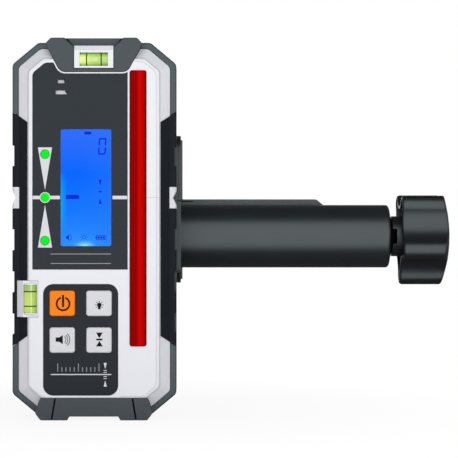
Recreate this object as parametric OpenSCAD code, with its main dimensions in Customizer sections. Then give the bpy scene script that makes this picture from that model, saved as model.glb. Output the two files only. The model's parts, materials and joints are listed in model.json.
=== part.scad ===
// Laser receiver with a screw clamp for a levelling staff.
// Millimetres, X to the reader's right, Y away from the reader, Z up.
// The origin lies on the fixed jaw's face, at the back of the arm, level with the zero mark.
// Pieces of the housing are drawn about its middle, with Y counted as depth behind the front face.

/* [Housing] */
// Width of the housing
body_w = 76; // [74:0.5:80]
// Height of the housing without its bumpers
body_h = 172.6; // [170:0.2:178]
// Thickness of the housing, front face to back
body_t = 33; // [32.5:0.5:37]
// Width of the cut-off corners
corner_w = 12; // [11:0.5:13]
// Height of the cut-off corners
corner_h = 10; // [9:0.5:11]
// Rounding of the housing's corners
corner_r = 3; // [2:0.5:4]
// Width of the rear shell's rim around the front shell
rim_w = 2.9; // [2.6:0.1:3.2]
// Depth of the rim behind the front face
rim_depth = 6; // [5.6:0.1:7]
// Wall of the shells
wall = 2.5; // [2.2:0.1:2.8]
// Width of the sloping bevel round the front face
bevel_w = 4.3; // [4:0.1:4.6]
// Height of the zero mark above the middle of the housing
zero_up = 14.5; // [13:0.5:16]

/* [Display and sensor] */
// Width of the sensor window
sensor_w = 7.7; // [6.5:0.1:8.5]
// Radius of a position light
led_r = 1.95; // [1.5:0.05:2.2]

/* [Keys] */
// Gap between the keys
key_space = 5.2; // [4:0.1:6.5]
// Height of a key above the front face
key_rise = 0.9; // [0.6:0.1:1.5]
// Travel of a key
key_travel = 0.9; // [0.5:0.1:1]

/* [Vials] */
// Radius of the vials
vial_r = 3; // [2.5:0.1:3.2]
// Length of the vials
vial_l = 14.4; // [12:0.2:15]

/* [Rubber] */
// How far the bumpers stand out beyond the housing
bumper_out = 1.75; // [1.2:0.05:3]
// Half the length of a side grip
grip_hl = 55.1; // [52:0.1:57]
// Distance between the recesses of a side grip
grip_pitch = 19.5; // [17:0.5:20]

/* [Battery] */
// Radius of a cell
cell_r = 7.1; // [6.5:0.1:7.3]
// Thickness of the battery door
door_t = 2.1; // [1.8:0.1:2.2]

/* [Clamp arm] */
// Length of the arm from the fixed jaw's face
arm_l = 99.6; // [96:0.2:120]
// Radius of the arm's round front
arm_r = 15.15; // [14:0.05:17]
// Distance from the arm's axis to its flat back
arm_flat = 11.7; // [10.5:0.1:13]
// Distance of the arm's axis below the zero mark
arm_drop = 18; // [16.5:0.5:21]
// Narrowest staff that the jaws take
jaw_shut = 8; // [8:1:20]
// Reach of the jaws behind the arm
jaw_reach = 24; // [18:1:32]
// Height of the fixed jaw above the zero mark
plate_up = 30.3; // [24:0.1:36]
// Depth of the fixed jaw below the zero mark
plate_down = 40.3; // [36:0.1:46]
// How far the fixed jaw's face stands clear of the housing's side
plate_show = 2.8; // [2:0.1:6]
// Thickness of the fixed jaw's plate
plate_t = 5; // [4.5:0.1:8]

/* [Spindle and knob] */
// Radius of the spindle over its thread
spindle_r = 4; // [3.5:0.1:4.5]
// Radius of the knob over its lobes
knob_r = 23.3; // [20:0.1:26]
// Length of the knob's lobes
knob_l = 19.9; // [19:0.1:26]
// Number of lobes on the knob
knob_lobes = 5; // [4:1:6]
// Radius of a lobe's tip
lobe_r = 4.6; // [4.4:0.1:5]

/* [Hidden] */
$fn = 48;
hull_fn = 32;

// Colours
white_abs = [0.90, 0.90, 0.92];
grey_shell = [0.33, 0.36, 0.38];
black_rubber = [0.12, 0.13, 0.15];
panel_grey = [0.24, 0.25, 0.27];
arm_grey = [0.30, 0.33, 0.35];
steel = [0.72, 0.73, 0.75];
board_green = [0.10, 0.35, 0.20];

// Fits: pieces that stay put, pieces that move, running shafts, and the overrun of every cut
fit = 0.1;
move_gap = 0.3;
run_gap = 0.06;
overrun = 1;
film = 0.02;

// Housing
half_w = body_w / 2;
half_h = body_h / 2;
corner_a = atan(corner_w / corner_h);
body_x = -(plate_show + half_w);
body_z = -zero_up;
back_y = -(arm_flat + arm_r);
front_y = back_y - body_t;
seat_inset = rim_w + fit;
base_inset = seat_inset + bevel_w;
lip_w = 1.7;
lip_depth = 1.8;
lip_share = 0.3;
lip_step = 0.15;
lip_root = 0.1;
face_inset = base_inset + lip_w;
rim_edge = 0.5;
back_edge = 1.5;
skirt_l = 4.5;
skirt_depth = rim_depth + skirt_l;
seal_t = 1;
ledge_depth = skirt_depth + seal_t;
ledge_w = 1.1;
rear_inset = rim_w + ledge_w;
top_block = 15.8;
bottom_block = 9.3;
side_block = 10;
cavity_top = half_h - top_block;
cavity_low = -(half_h - bottom_block);
cavity_hw = half_w - side_block;
cavity_r = 3;

// Case screws
screw_in_x = 14;
screw_in_z = 5.1;
screw_x = half_w - screw_in_x;
screw_z = half_h - screw_in_z;
screw_r = 1.5;
screw_floor = 1.5;
screw_tip = rim_depth + screw_floor;
screw_boss_r = 4;
screw_head_r = 2.6;
screw_head_t = 2;
screw_sink = 4.5;
head_seat = body_t - screw_sink;

// Sensor window, as long as the ends of the housing leave room for
sensor_in_x = 17.65;
sensor_x = half_w - sensor_in_x;
sensor_top_in = 13.3;
sensor_low_in = 32.3;
sensor_l = body_h - sensor_top_in - sensor_low_in;
sensor_up = half_h - sensor_top_in - sensor_l / 2;
sensor_seat = 1.6;
sensor_rise = 0.9;
sensor_edge = 0.2;
sensor_ledge = 1;
sensor_r = 1;

// Keypad, between the housing's left side and the sensor
panel_t = 0.8;
keypad_in_x = 14.75;
keypad_gap = 5.35;
keypad_low_in = 9.7;
keypad_side = 2.9;
keypad_head = 2.95;
keypad_tail = 19.65;
keypad_r = 4.6;
keypad_left = keypad_in_x - half_w;
keypad_right = sensor_x - sensor_w / 2 - keypad_gap;
keypad_low = keypad_low_in - half_h;
key_w = (keypad_right - keypad_left - 2 * keypad_side - key_space) / 2;
key_pitch = key_w + key_space;
key_x = keypad_left + keypad_side + key_w / 2;
key_up = keypad_low + keypad_tail + key_w / 2 + key_pitch;
keypad_top = key_up + key_w / 2 + keypad_head;
key_r = 1.3;
key_gap = 0.2;
key_soft = 0.4;
key_flange_w = 1;
key_flange_t = 0.8;
key_stem_r = 2.4;
key_stem_l = 1.4;
key_places = [[0, 0], [1, 0], [0, -1], [1, -1]];

// Display, between the lights and the sensor, above the keypad
panel_margin = 0.8;
panel_inset = face_inset + panel_margin;
panel_gap = 1;
panel_right = sensor_x - sensor_w / 2 - panel_gap;
panel_above = 6.8;
panel_low = keypad_top + panel_above;
led_in_x = 15.55;
led_x = led_in_x - half_w;
led_rise = 0.2;
led_gap = 7.25;
lcd_side = 7.6;
lcd_left = led_x + led_gap;
lcd_w = panel_right - lcd_side - lcd_left;
lcd_x = lcd_left + lcd_w / 2;
lcd_tail = 10.8;
lcd_top_in = 40.5;
lcd_low = panel_low + lcd_tail;
lcd_h = half_h - lcd_top_in - lcd_low;
led_low_in = 2.4;
led_pitch = zero_up - lcd_low - led_low_in;
lcd_up = lcd_low + lcd_h / 2;
lcd_r = 0.8;
lcd_ledge = 1;
lcd_frame = 1.4;
lcd_t = 2.9;
slot_in_x = 23.05;
slot_x = slot_in_x - half_w;
slot_top_in = 18.3;
slot_pitch = 5.1;
slot_ups = [half_h - slot_top_in, half_h - slot_top_in - slot_pitch];
slot_lengths = [3.5, 5.5];
slot_w = 1.8;

// Boards and what they carry
post_l = 7.9;
post_r = 2.3;
board_depth = wall + post_l;
board_t = 1.6;
board_edge = 1;
board_screw_r = 0.9;
board_screw_l = 5;
board_head_r = 1.9;
board_head_t = 1.2;
post_in = 3;
switch_w = 6.2;
switch_t = 3.6;
plunger_r = 1.6;
plunger_gap = 0.1;
strip_w = 9;
strip_t = 1.2;
post_gap = 4.35;
post_right_x = sensor_x - strip_w / 2 - post_gap;
diode_count = 24;
diode_w = 4.6;
diode_t = 1.4;
diode_fill_share = 0.7;
buzzer_r = 4.4;
buzzer_t = 6;

// Rubber bumpers
bumper_proud = 0.6;
bumper_back = 3;
top_hw = 22.4;
top_flat_hw = 19.9;
top_shoulder = 1;
top_reach = 14;
top_foot_hw = 15.5;
top_foot_r = 4;
bumper_r = 1.5;
notch_hw = 13.2;
notch_t = 3.6;
notch_slope = 0.9;
low_hw = 24.8;
low_wide_hw = 27.1;
low_wide = 1.6;
low_reach = 8.5;
foot_hw = 24.6;
foot_in_hw = 12.3;
foot_slope = 1.1;
low_groove_hw = 17.4;
low_groove_lean = 1.7;
low_groove_w = 0.7;
low_groove_t = 0.5;

// Side grips and zero marks
grip_in_hl = 48.5;
grip_back = 27;
grip_proud = 0.5;
grip_edge = 0.8;
grip_t = 1.2;
grip_wrap = 1.4;
recess_t = 0.9;
recess_l = 9.7;
recess_steps = [1, -1, -2, -3];
mark_hl = 4.95;
mark_w = 3.2;
mark_v_t = 1.6;
mark_v_hl = 3.4;

// Vials
vial_depth = 2.6;
vial_end = 0.7;
top_vial_up = 8.2;
top_vial_z = half_h - top_vial_up;
holder_hw = 9;
holder_down = 4;
holder_up = 6.3;
holder_slope_l = 2.2;
holder_slope_t = 1.5;
holder_proud = 0.9;
side_vial_in = 8.65;
side_vial_x = -(half_w - side_vial_in);
side_vial_z = -32.2;
side_holder_hl = 8.4;
side_holder_wall = 0.7;
side_holder_back = 8;
side_holder_front = 1.2;
side_holder_lip = 0.7;
side_holder_in = 0.6;
side_lean = 3.3;

// Battery compartment
tray_wall = 1.5;
cell_gap = 1.4;
cell_room = 0.75;
contact_room = 1.3;
contact_t = 0.5;
contact_w = 10;
contact_bump_r = 2.4;
button_r = 2.7;
button_l = 1.2;
cell_pitch = 2 * cell_r + cell_gap;
tray_hh = cell_pitch / 2 + cell_r + cell_room;
tray_clear = 0.2;
tray_low = -(screw_z - screw_boss_r) + tray_clear;
tray_z = tray_low + tray_wall + tray_hh;
cell_depth = body_t - door_t - move_gap - cell_r;
tray_floor = cell_depth - cell_r - move_gap;
tray_back = body_t - wall;
tray_flange_w = 2;
tray_flange_t = 1;
tray_side = 4;
tray_hl = half_w - rear_inset - tray_side - tray_flange_w - tray_wall;
cell_l = 2 * (tray_hl - contact_room);
door_lap = 0.8;
door_hw = tray_hl + door_lap;
door_low = tray_z - tray_hh - door_lap;
door_top = tray_z + tray_hh + door_lap;
door_r = 1.5;
knuckle_r = 1.6;
knuckle_hl = 12;
knuckle_drop = 2.6;
lug_l = 4.7;
lug_hh = 1.8;
lug_in = 3.4;
lug_end = knuckle_hl + move_gap + lug_l;
hinge_gap = 0.8;
hinge_z = door_low - knuckle_drop;
hinge_depth = body_t - knuckle_r;
pin_r = 0.75;
finger_r = 7;

// Thread insert and thumb screw at the back
tongue_t = 5;
tongue_sink = 1;
tongue_hh = 16;
tongue_z = -8;
insert_r = 4.5;
insert_l = 9;
insert_boss_r = 7;
insert_boss_l = 12;
thumb_r = 3.1;
thumb_l = 7.5;
thumb_head_r = 9;
thumb_head_l = 7;
thumb_scallops = 8;
thumb_scallop_r = 2.4;
thumb_hole_gap = 0.4;

// Clamp arm, jaws and spindle
axis_y = -arm_flat;
axis_z = -arm_drop;
plate_r = 3;
plate_front_r = 9;
pad_t = 1.8;
pad_proud = 0.8;
pad_margin = 1.2;
arm_edge = 1.5;
bore_r = 9.2;
slot_hw = 7;
slot_spare = 2;
slot_start = jaw_shut - slot_spare;
rib_t = 4;
rib_run = 4.8;
rib_steps = 8;
rib_fillet = 1.5;
index_w = 0.5;
index_down = 0.75;
index_l = 6;
bush_l = 6;
journal_r = 3;
end_bush_l = 9.6;
bush_flange_l = 3;
bush_flange_w = 1.2;
shoulder_r = 6;
shoulder_l = 2.7;
carriage_l = 18;
jaw_plate_t = 7.2;
jaw_hh = 14;
jaw_lift = 0.4;
jaw_edge = 2;
web_hh = 3;
bush_in = arm_l - end_bush_l;
jaw_spare = 2.2;
jaw_open = bush_in - move_gap - shoulder_l - jaw_spare - carriage_l - pad_t;
rib_in = 0.3;
rib_l = jaw_open - rib_in;

// Knob
washer_r = 8.5;
washer_t = 1.2;
hub_r = 9.7;
hub_l = 4.4;
hub_notch_w = 7.3;
hub_notch_l = 2.2;
hub_sleeve_r = 6.6;
knob_wall = 2.2;
knob_web = 6;
knob_edge = 1.2;
knob_dome = 4;
dome_steps = 6;
dome_r = knob_r - knob_edge;
valley_share = 0.645;
star_turn = -88.7;
washer_x = arm_l + fit;
hub_x = washer_x + washer_t;
knob_x = hub_x + hub_l;
knob_end = knob_x + knob_l;
cap_r = 7;
cap_t = 1.4;
cap_sink = 0.3;
knob_screw_r = 2;
knob_screw_l = 14;
knob_screw_head_r = 3.8;
knob_screw_head_t = 2.5;
knob_crown = knob_end + knob_dome;
cap_seat = knob_end + dome_at(cap_r) - cap_t;
screw_seat = cap_seat - knob_screw_head_t - fit;
spindle_end = knob_end - knob_web;
lobe_ring = knob_r - lobe_r;
valley_floor = knob_r * valley_share;
lobe_half = 180 / knob_lobes;
valley_r = (valley_floor * valley_floor + lobe_ring * lobe_ring - lobe_r * lobe_r
    - 2 * lobe_ring * valley_floor * cos(lobe_half))
    / (2 * (lobe_r + lobe_ring * cos(lobe_half) - valley_floor));
valley_ring = valley_floor + valley_r;
lobe_turn = atan2(valley_ring * sin(lobe_half), valley_ring * cos(lobe_half) - lobe_ring);
lobe_steps = 15;
valley_steps = 8;

// Corner points of the housing's outline, drawn in by an inset
function housing_points(inset) = let (
    w = half_w - inset,
    h = half_h - inset,
    cw = corner_w - inset * (1 - tan((90 - corner_a) / 2)),
    ch = corner_h - inset * (1 - tan(corner_a / 2)))
    [[w, ch - h], [w, h - ch], [w - cw, h], [cw - w, h],
     [-w, h - ch], [-w, ch - h], [cw - w, -h], [w - cw, -h]];

// Outward normal of the edge from p to q, on an outline that runs anticlockwise
function edge_normal(p, q) = let (e = (q - p) / norm(q - p)) [e[1], -e[0]];

// Centre of the fillet at q, between the edges to p and s
function fillet_centre(p, q, s, r) = let (
    a = (p - q) / norm(p - q),
    b = (s - q) / norm(s - q))
    q + (a + b) / norm(a + b) * 2 * r / norm(a - b);

// Convex outline with rounded corners, one radius or a list of them, grown outwards by grow
module rounded(points, radius, grow = 0) {
    n = len(points);
    radii = is_list(radius) ? radius : [for (p = points) radius];
    centres = [for (i = [0:n - 1])
        fillet_centre(points[(i + n - 1) % n], points[i], points[(i + 1) % n], radii[i])];
    polygon([for (i = [0:n - 1]) each [
        centres[i] + (radii[i] + grow) * edge_normal(points[(i + n - 1) % n], points[i]),
        centres[i] + (radii[i] + grow) * edge_normal(points[i], points[(i + 1) % n])]]);
    for (i = [0:n - 1])
        translate(centres[i]) circle(radii[i] + grow);
}

// Rounded rectangle from one corner to the other
module plate(low, high, radius, grow = 0)
    rounded([low, [high[0], low[1]], high, [low[0], high[1]]], radius, grow);

// Rounded rectangle about its own middle
module pane(w, h, radius, grow = 0)
    plate([-w / 2, -h / 2], [w / 2, h / 2], radius, grow);

// A flat outline, seen from the front, made solid between two depths
module slab(from, to)
    translate([0, to, 0]) rotate([90, 0, 0]) linear_extrude(to - from) children();

// An outline in Y and Z made solid along X
module beam(from, to)
    translate([from, 0, 0]) rotate([90, 0, 90]) linear_extrude(to - from) children();

// Round bars along X and along Y
module rod_x(from, to, r)
    translate([from, 0, 0]) rotate([0, 90, 0]) cylinder(h = to - from, r = r);
module rod_y(from, to, r)
    translate([0, from, 0]) rotate([-90, 0, 0]) cylinder(h = to - from, r = r);

// Places of the groups
module on_body() translate([body_x, front_y, body_z]) children();
module on_axis() translate([0, axis_y, axis_z]) children();
module at_corners() for (sx = [-1, 1], sz = [-1, 1]) translate([sx * screw_x, 0, sz * screw_z]) children();
module at_lights() for (k = [-1:1]) translate([led_x, 0, zero_up + k * led_pitch]) children();
module at_key(i) translate([key_x + key_places[i][0] * key_pitch, 0, key_up + key_places[i][1] * key_pitch])
    children();
module at_keys() for (i = [0:len(key_places) - 1]) at_key(i) children();
module at_posts() {
    for (sz = [cavity_top - post_in, cavity_low + post_in]) {
        translate([post_in - cavity_hw, 0, sz]) children();
        translate([post_right_x, 0, sz]) children();
    }
}

// Outlines on the front of the housing
module housing_outline(inset) rounded(housing_points(inset), corner_r);

module top_outline(grow = 0)
    rounded([[-top_foot_hw, half_h - top_reach], [top_foot_hw, half_h - top_reach],
        [top_hw, half_h - top_shoulder], [top_flat_hw, half_h + bumper_out],
        [-top_flat_hw, half_h + bumper_out], [-top_hw, half_h - top_shoulder]],
        [top_foot_r, top_foot_r, bumper_r, bumper_r, bumper_r, bumper_r], grow);

// The gap above the top vial, whose sides slope
module notch_outline(grow = 0) polygon([
    [-holder_hw - grow, top_vial_z + holder_up - film], [holder_hw + grow, top_vial_z + holder_up - film],
    [notch_hw + grow, half_h + bumper_out + film], [-notch_hw - grow, half_h + bumper_out + film]]);

module low_outline(grow = 0)
    rounded([[-foot_hw, -half_h - bumper_out], [foot_hw, -half_h - bumper_out],
        [low_wide_hw, low_wide - half_h], [low_hw, low_reach - half_h],
        [-low_hw, low_reach - half_h], [-low_wide_hw, low_wide - half_h]], bumper_r, grow);

module lcd_outline(grow = 0, ledge = 0)
    translate([lcd_x, lcd_up]) pane(lcd_w - 2 * ledge, lcd_h - 2 * ledge, lcd_r, grow);

module sensor_outline(grow = 0)
    translate([sensor_x, sensor_up]) pane(sensor_w, sensor_l, sensor_r, grow);

module panel_outline(grow = 0) difference() {
    intersection() {
        housing_outline(panel_inset - grow);
        translate([-half_w, panel_low - grow]) square([half_w + panel_right + grow, body_h]);
    }
    top_outline(panel_margin - grow);
}

module keypad_outline(grow = 0)
    plate([keypad_left, keypad_low], [keypad_right, keypad_top], keypad_r, grow);

module speaker_slots()
    for (i = [0:len(slot_ups) - 1])
        translate([slot_x, slot_ups[i]]) square([slot_lengths[i], slot_w], center = true);

// Section of a side grip in X and depth, and the grip's length seen from the front; for the pocket
// the outer faces move out and the ends stand off by grow
module grip_section(out = 0) polygon([
    [half_w - base_inset, lip_depth - grip_proud - out],
    [half_w - seat_inset, rim_depth - grip_proud - out],
    [half_w - grip_edge + out, rim_depth - grip_proud - out],
    [half_w + out, rim_depth - grip_proud + grip_edge],
    [half_w + out, grip_back],
    [half_w - grip_wrap, grip_back],
    [half_w - grip_wrap, rim_depth + grip_t],
    [half_w - seat_inset, rim_depth + grip_t],
    [half_w - base_inset, lip_depth + grip_t]]);

module grip_form(grow = 0, out = 0) intersection() {
    translate([0, 0, -half_h]) linear_extrude(body_h) grip_section(out);
    slab(-overrun, body_t) polygon([
        [half_w - base_inset - overrun, -grip_in_hl - grow], [half_w + overrun, -grip_hl - grow],
        [half_w + overrun, grip_hl + grow], [half_w - base_inset - overrun, grip_in_hl + grow]]);
}

module mark_band(grow = 0)
    translate([half_w - mark_w - grow, -overrun, zero_up - mark_hl - grow])
        cube([mark_w + grow + overrun, body_t, 2 * (mark_hl + grow)]);

// Left-hand pieces are drawn on the right and mirrored
module left_side() mirror([1, 0, 0]) children();

// Front shell: sloping bevel, raised face and a skirt that enters the rear shell
module front_form() {
    hull($fn = hull_fn) {
        slab(lip_depth, lip_depth + film) housing_outline(base_inset, $fn = hull_fn);
        slab(rim_depth - film, rim_depth) housing_outline(seat_inset, $fn = hull_fn);
    }
    hull($fn = hull_fn) {
        slab(0, film) housing_outline(face_inset, $fn = hull_fn);
        slab(lip_depth * lip_share, lip_depth * lip_share + film)
            housing_outline(base_inset + lip_step + lip_w * lip_share, $fn = hull_fn);
        slab(lip_depth, lip_depth + lip_root) housing_outline(base_inset + lip_step, $fn = hull_fn);
    }
    slab(rim_depth - lip_root, skirt_depth) housing_outline(seat_inset + fit);
}

module front_shell() color(white_abs) on_body() difference() {
    union() {
        difference() {
            front_form();
            slab(wall, skirt_depth + overrun)
                plate([-cavity_hw, cavity_low], [cavity_hw, cavity_top], cavity_r);
        }
        at_posts() rod_y(wall - film, board_depth, post_r);
    }
    at_posts() rod_y(board_depth - board_screw_l, board_depth + overrun, board_screw_r);
    slab(-overrun, panel_t) panel_outline(fit);
    slab(-overrun, wall + overrun) lcd_outline(0, lcd_ledge);
    slab(-overrun, wall + overrun) speaker_slots();
    at_lights() rod_y(-overrun, wall + overrun, led_r + fit);
    slab(-overrun, sensor_seat) sensor_outline(fit);
    slab(-overrun, wall + overrun)
        translate([sensor_x, (sensor_up - sensor_l / 2 + cavity_top) / 2])
            square([sensor_w - 2 * sensor_ledge,
                cavity_top - sensor_up + sensor_l / 2 - 2 * sensor_ledge], center = true);
    slab(-overrun, panel_t) keypad_outline(fit);
    at_keys() slab(-overrun, wall + overrun) pane(key_w, key_w, key_r, key_gap);
    slab(-overrun, rim_depth) top_outline(fit);
    slab(-overrun, rim_depth) low_outline(fit);
    grip_form(fit, overrun);
    left_side() grip_form(fit, overrun);
    side_holder_form(fit, side_holder_front + overrun);
    at_corners() rod_y(screw_tip, skirt_depth + overrun, screw_r + fit);
}

// Rear shell: the tub behind, with its rim, screw bosses, thread boss and door hinge lugs
module rear_form() hull($fn = hull_fn) {
    slab(rim_depth, rim_depth + film) housing_outline(rim_edge, $fn = hull_fn);
    slab(rim_depth + rim_edge, body_t - back_edge) housing_outline(0, $fn = hull_fn);
    slab(body_t - film, body_t) housing_outline(back_edge, $fn = hull_fn);
}

module tongue_outline(grow = 0) {
    circle(tongue_hh + grow);
    translate([0, -tongue_hh - grow]) square([-body_x - pad_proud, 2 * (tongue_hh + grow)]);
}

module rear_shell() color(grey_shell) on_body() difference() {
    union() {
        difference() {
            rear_form();
            slab(rim_depth - overrun, ledge_depth) housing_outline(rim_w);
            slab(ledge_depth - film, body_t - wall) housing_outline(rear_inset);
        }
        at_corners() rod_y(ledge_depth, body_t - wall + film, screw_boss_r);
        translate([0, 0, tongue_z + zero_up]) rod_y(body_t - wall - insert_boss_l, body_t - wall + film,
            insert_boss_r);
        translate([-lug_end, hinge_depth - lug_in, rear_inset - half_h - film])
            cube([2 * lug_end, body_t - hinge_depth + lug_in - film, hinge_z + lug_hh - rear_inset + half_h + film]);
    }
    at_corners() {
        rod_y(skirt_depth - overrun, head_seat + overrun, screw_r + fit);
        rod_y(head_seat, body_t + overrun, screw_head_r + fit);
    }
    translate([0, 0, tongue_z + zero_up]) {
        rod_y(body_t - tongue_sink - insert_l, body_t + overrun, insert_r + fit);
        slab(body_t - tongue_sink, body_t + overrun) tongue_outline(fit);
    }
    slab(body_t - wall - overrun, body_t + overrun)
        plate([-door_hw, door_low + move_gap - hinge_gap], [door_hw, door_top], door_r, move_gap);
    translate([0, 0, door_top]) rod_y(body_t - door_t, body_t + overrun, finger_r);
    translate([-knuckle_hl - move_gap, hinge_depth - knuckle_r - move_gap, hinge_z - knuckle_r - 2 * move_gap])
        cube([2 * (knuckle_hl + move_gap), body_t, knuckle_drop + knuckle_r + 2 * move_gap]);
    translate([0, hinge_depth, hinge_z]) rod_x(-lug_end, lug_end, pin_r + run_gap);
    grip_form(fit, overrun);
    left_side() grip_form(fit, overrun);
}

// Seal between the skirt of the front shell and the ledge of the rear shell
module housing_seal() color(black_rubber) on_body() difference() {
    slab(skirt_depth, ledge_depth) difference() {
        housing_outline(rim_w + fit);
        housing_outline(rear_inset);
    }
    at_corners() rod_y(skirt_depth - overrun, ledge_depth + overrun, screw_r + fit);
}

// Screws that draw the shells together from behind
module case_screws() color(steel) on_body() at_corners() {
    rod_y(screw_tip + fit, head_seat + film, screw_r);
    rod_y(head_seat, head_seat + screw_head_t, screw_head_r);
}

// Rubber bumpers over the two ends
module top_bumper() color(grey_shell) on_body() difference() {
    union() {
        slab(-bumper_proud, rim_depth) top_outline();
        slab(rim_depth - film, body_t - bumper_back) intersection() {
            top_outline();
            translate([-half_w, half_h]) square([body_w, body_h]);
        }
    }
    translate([0, 0, top_vial_z]) slab(-bumper_proud - overrun, rim_depth + overrun)
        translate([-holder_hw - fit, -holder_down - fit])
            square([2 * (holder_hw + fit), holder_down + holder_up + 2 * fit]);
    hull() {
        slab(-bumper_proud - overrun, -bumper_proud) notch_outline(notch_slope);
        slab(notch_t - bumper_proud - film, notch_t - bumper_proud) notch_outline();
    }
}

module bottom_bumper() color(grey_shell) on_body() difference() {
    union() {
        slab(-bumper_proud, rim_depth) low_outline();
        slab(rim_depth - film, body_t - bumper_back) intersection() {
            low_outline();
            translate([-half_w, -half_h - body_h]) square([body_w, body_h]);
        }
    }
    slab(-bumper_proud - overrun, body_t) polygon([
        [-foot_in_hw + foot_slope, -half_h], [-foot_in_hw, -half_h - bumper_out - film],
        [foot_in_hw, -half_h - bumper_out - film], [foot_in_hw - foot_slope, -half_h]]);
    for (side = [-1, 1])
        slab(-bumper_proud - overrun, low_groove_t - bumper_proud) polygon([
            [side * low_groove_hw, low_reach - half_h + film],
            [side * (low_groove_hw + low_groove_lean), -half_h - bumper_out - film],
            [side * (low_groove_hw + low_groove_lean + low_groove_w), -half_h - bumper_out - film],
            [side * (low_groove_hw + low_groove_w), low_reach - half_h + film]]);
}

// Rubber side grips, with shallow recesses in their outer faces and a gap for the zero mark
module side_grip() difference() {
    grip_form();
    mark_band(fit);
    for (k = recess_steps)
        translate([half_w - recess_t, -overrun, zero_up + k * grip_pitch - recess_l / 2])
            cube([recess_t + overrun, body_t, recess_l]);
}

module right_grip() color(black_rubber) on_body() side_grip();

module left_grip() color(black_rubber) on_body() difference() {
    left_side() side_grip();
    side_holder_form(fit, side_holder_front + overrun);
}

// Notched white marks at zero height on both sides
module zero_mark() difference() {
    intersection() {
        grip_form();
        mark_band();
    }
    slab(-overrun, body_t) polygon([
        [half_w - mark_v_t, zero_up], [half_w + film, zero_up - mark_v_hl], [half_w + film, zero_up + mark_v_hl]]);
}

module right_mark() color(white_abs) on_body() zero_mark();
module left_mark() color(white_abs) on_body() left_side() zero_mark();

// Dark face panel, the clear window in it and the display behind
module display_panel() color(panel_grey) on_body() difference() {
    slab(0, panel_t) panel_outline();
    slab(-overrun, wall) lcd_outline(fit);
    slab(-overrun, wall) speaker_slots();
    at_lights() rod_y(-overrun, wall, led_r + fit);
}

module display_window() color([0.2, 0.45, 0.95]) on_body() slab(fit, panel_t) lcd_outline();

module lcd_module() color([0.1, 0.3, 0.8]) on_body() slab(wall, wall + lcd_t) lcd_outline(lcd_frame);

module backlight() color(white_abs) on_body() slab(wall + lcd_t, board_depth) lcd_outline(lcd_frame - lcd_r / 2);

// Red filter over the row of photodiodes, with a ridge along its middle
module sensor_window() color([0.7, 0.02, 0.02]) on_body() intersection() {
    translate([sensor_x, 0, sensor_up - sensor_l / 2]) linear_extrude(sensor_l) polygon([
        [-sensor_w / 2, sensor_edge], [0, -sensor_rise], [sensor_w / 2, sensor_edge],
        [sensor_w / 2, sensor_seat], [-sensor_w / 2, sensor_seat]]);
    slab(-sensor_rise - overrun, sensor_seat + overrun) sensor_outline();
}

// Light pipes that show whether the beam is high, level or low
module position_lights() color([0.1, 0.95, 0.25]) on_body() at_lights() rod_y(-led_rise, board_depth, led_r);

// Keypad plate and its four keys
module keypad_panel() color(panel_grey) on_body() difference() {
    slab(0, panel_t) keypad_outline();
    at_keys() slab(-overrun, wall) pane(key_w, key_w, key_r, key_gap);
}

module key_form() {
    hull($fn = hull_fn) {
        slab(-key_rise, film - key_rise) pane(key_w - 2 * key_soft, key_w - 2 * key_soft, key_r, $fn = hull_fn);
        slab(key_soft - key_rise, wall) pane(key_w, key_w, key_r, $fn = hull_fn);
    }
    slab(wall, wall + key_flange_t) pane(key_w, key_w, key_r, key_flange_w);
    rod_y(wall, wall + key_flange_t + key_stem_l, key_stem_r);
}

module power_key() color([0.95, 0.5, 0.1]) on_body() at_key(0) key_form();
module light_key() color([0.8, 0.8, 0.82]) on_body() at_key(1) key_form();
module sound_key() color([0.8, 0.8, 0.82]) on_body() at_key(2) key_form();
module precision_key() color([0.8, 0.8, 0.82]) on_body() at_key(3) key_form();

module key_switches() color([0.2, 0.2, 0.2]) on_body() at_keys() {
    translate([-switch_w / 2, board_depth - switch_t, -switch_w / 2]) cube([switch_w, switch_t, switch_w]);
    rod_y(wall + key_flange_t + key_stem_l + key_travel + plunger_gap, board_depth - switch_t + film, plunger_r);
}

// Main board on the front shell's posts, and what it carries
module main_board() color(board_green) on_body() difference() {
    slab(board_depth, board_depth + board_t)
        plate([board_edge - cavity_hw, cavity_low + board_edge], [cavity_hw - board_edge, cavity_top - board_edge],
            board_edge);
    at_posts() rod_y(board_depth - overrun, board_depth + board_t + overrun, board_screw_r + fit);
}

module board_screws() color(steel) on_body() at_posts() {
    rod_y(board_depth - board_screw_l + fit, board_depth + board_t + film, board_screw_r - fit);
    rod_y(board_depth + board_t, board_depth + board_t + board_head_t, board_head_r);
}

module sensor_board() color(board_green) on_body()
    translate([sensor_x - strip_w / 2, board_depth - strip_t, sensor_up - sensor_l / 2])
        cube([strip_w, strip_t, cavity_top - board_edge - sensor_up + sensor_l / 2]);

module photodiodes() color([0.15, 0.15, 0.2]) on_body() {
    low = sensor_up - sensor_l / 2;
    pitch = (cavity_top - board_edge - low) / diode_count;
    for (i = [0:diode_count - 1])
        translate([sensor_x - diode_w / 2, board_depth - strip_t - diode_t,
            low + (i + (1 - diode_fill_share) / 2) * pitch])
            cube([diode_w, diode_t, pitch * diode_fill_share]);
}

module buzzer() color([0.15, 0.15, 0.15]) on_body()
    translate([slot_x, 0, (slot_ups[0] + slot_ups[1]) / 2])
        rod_y(board_depth - buzzer_t, board_depth, buzzer_r);

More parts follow.
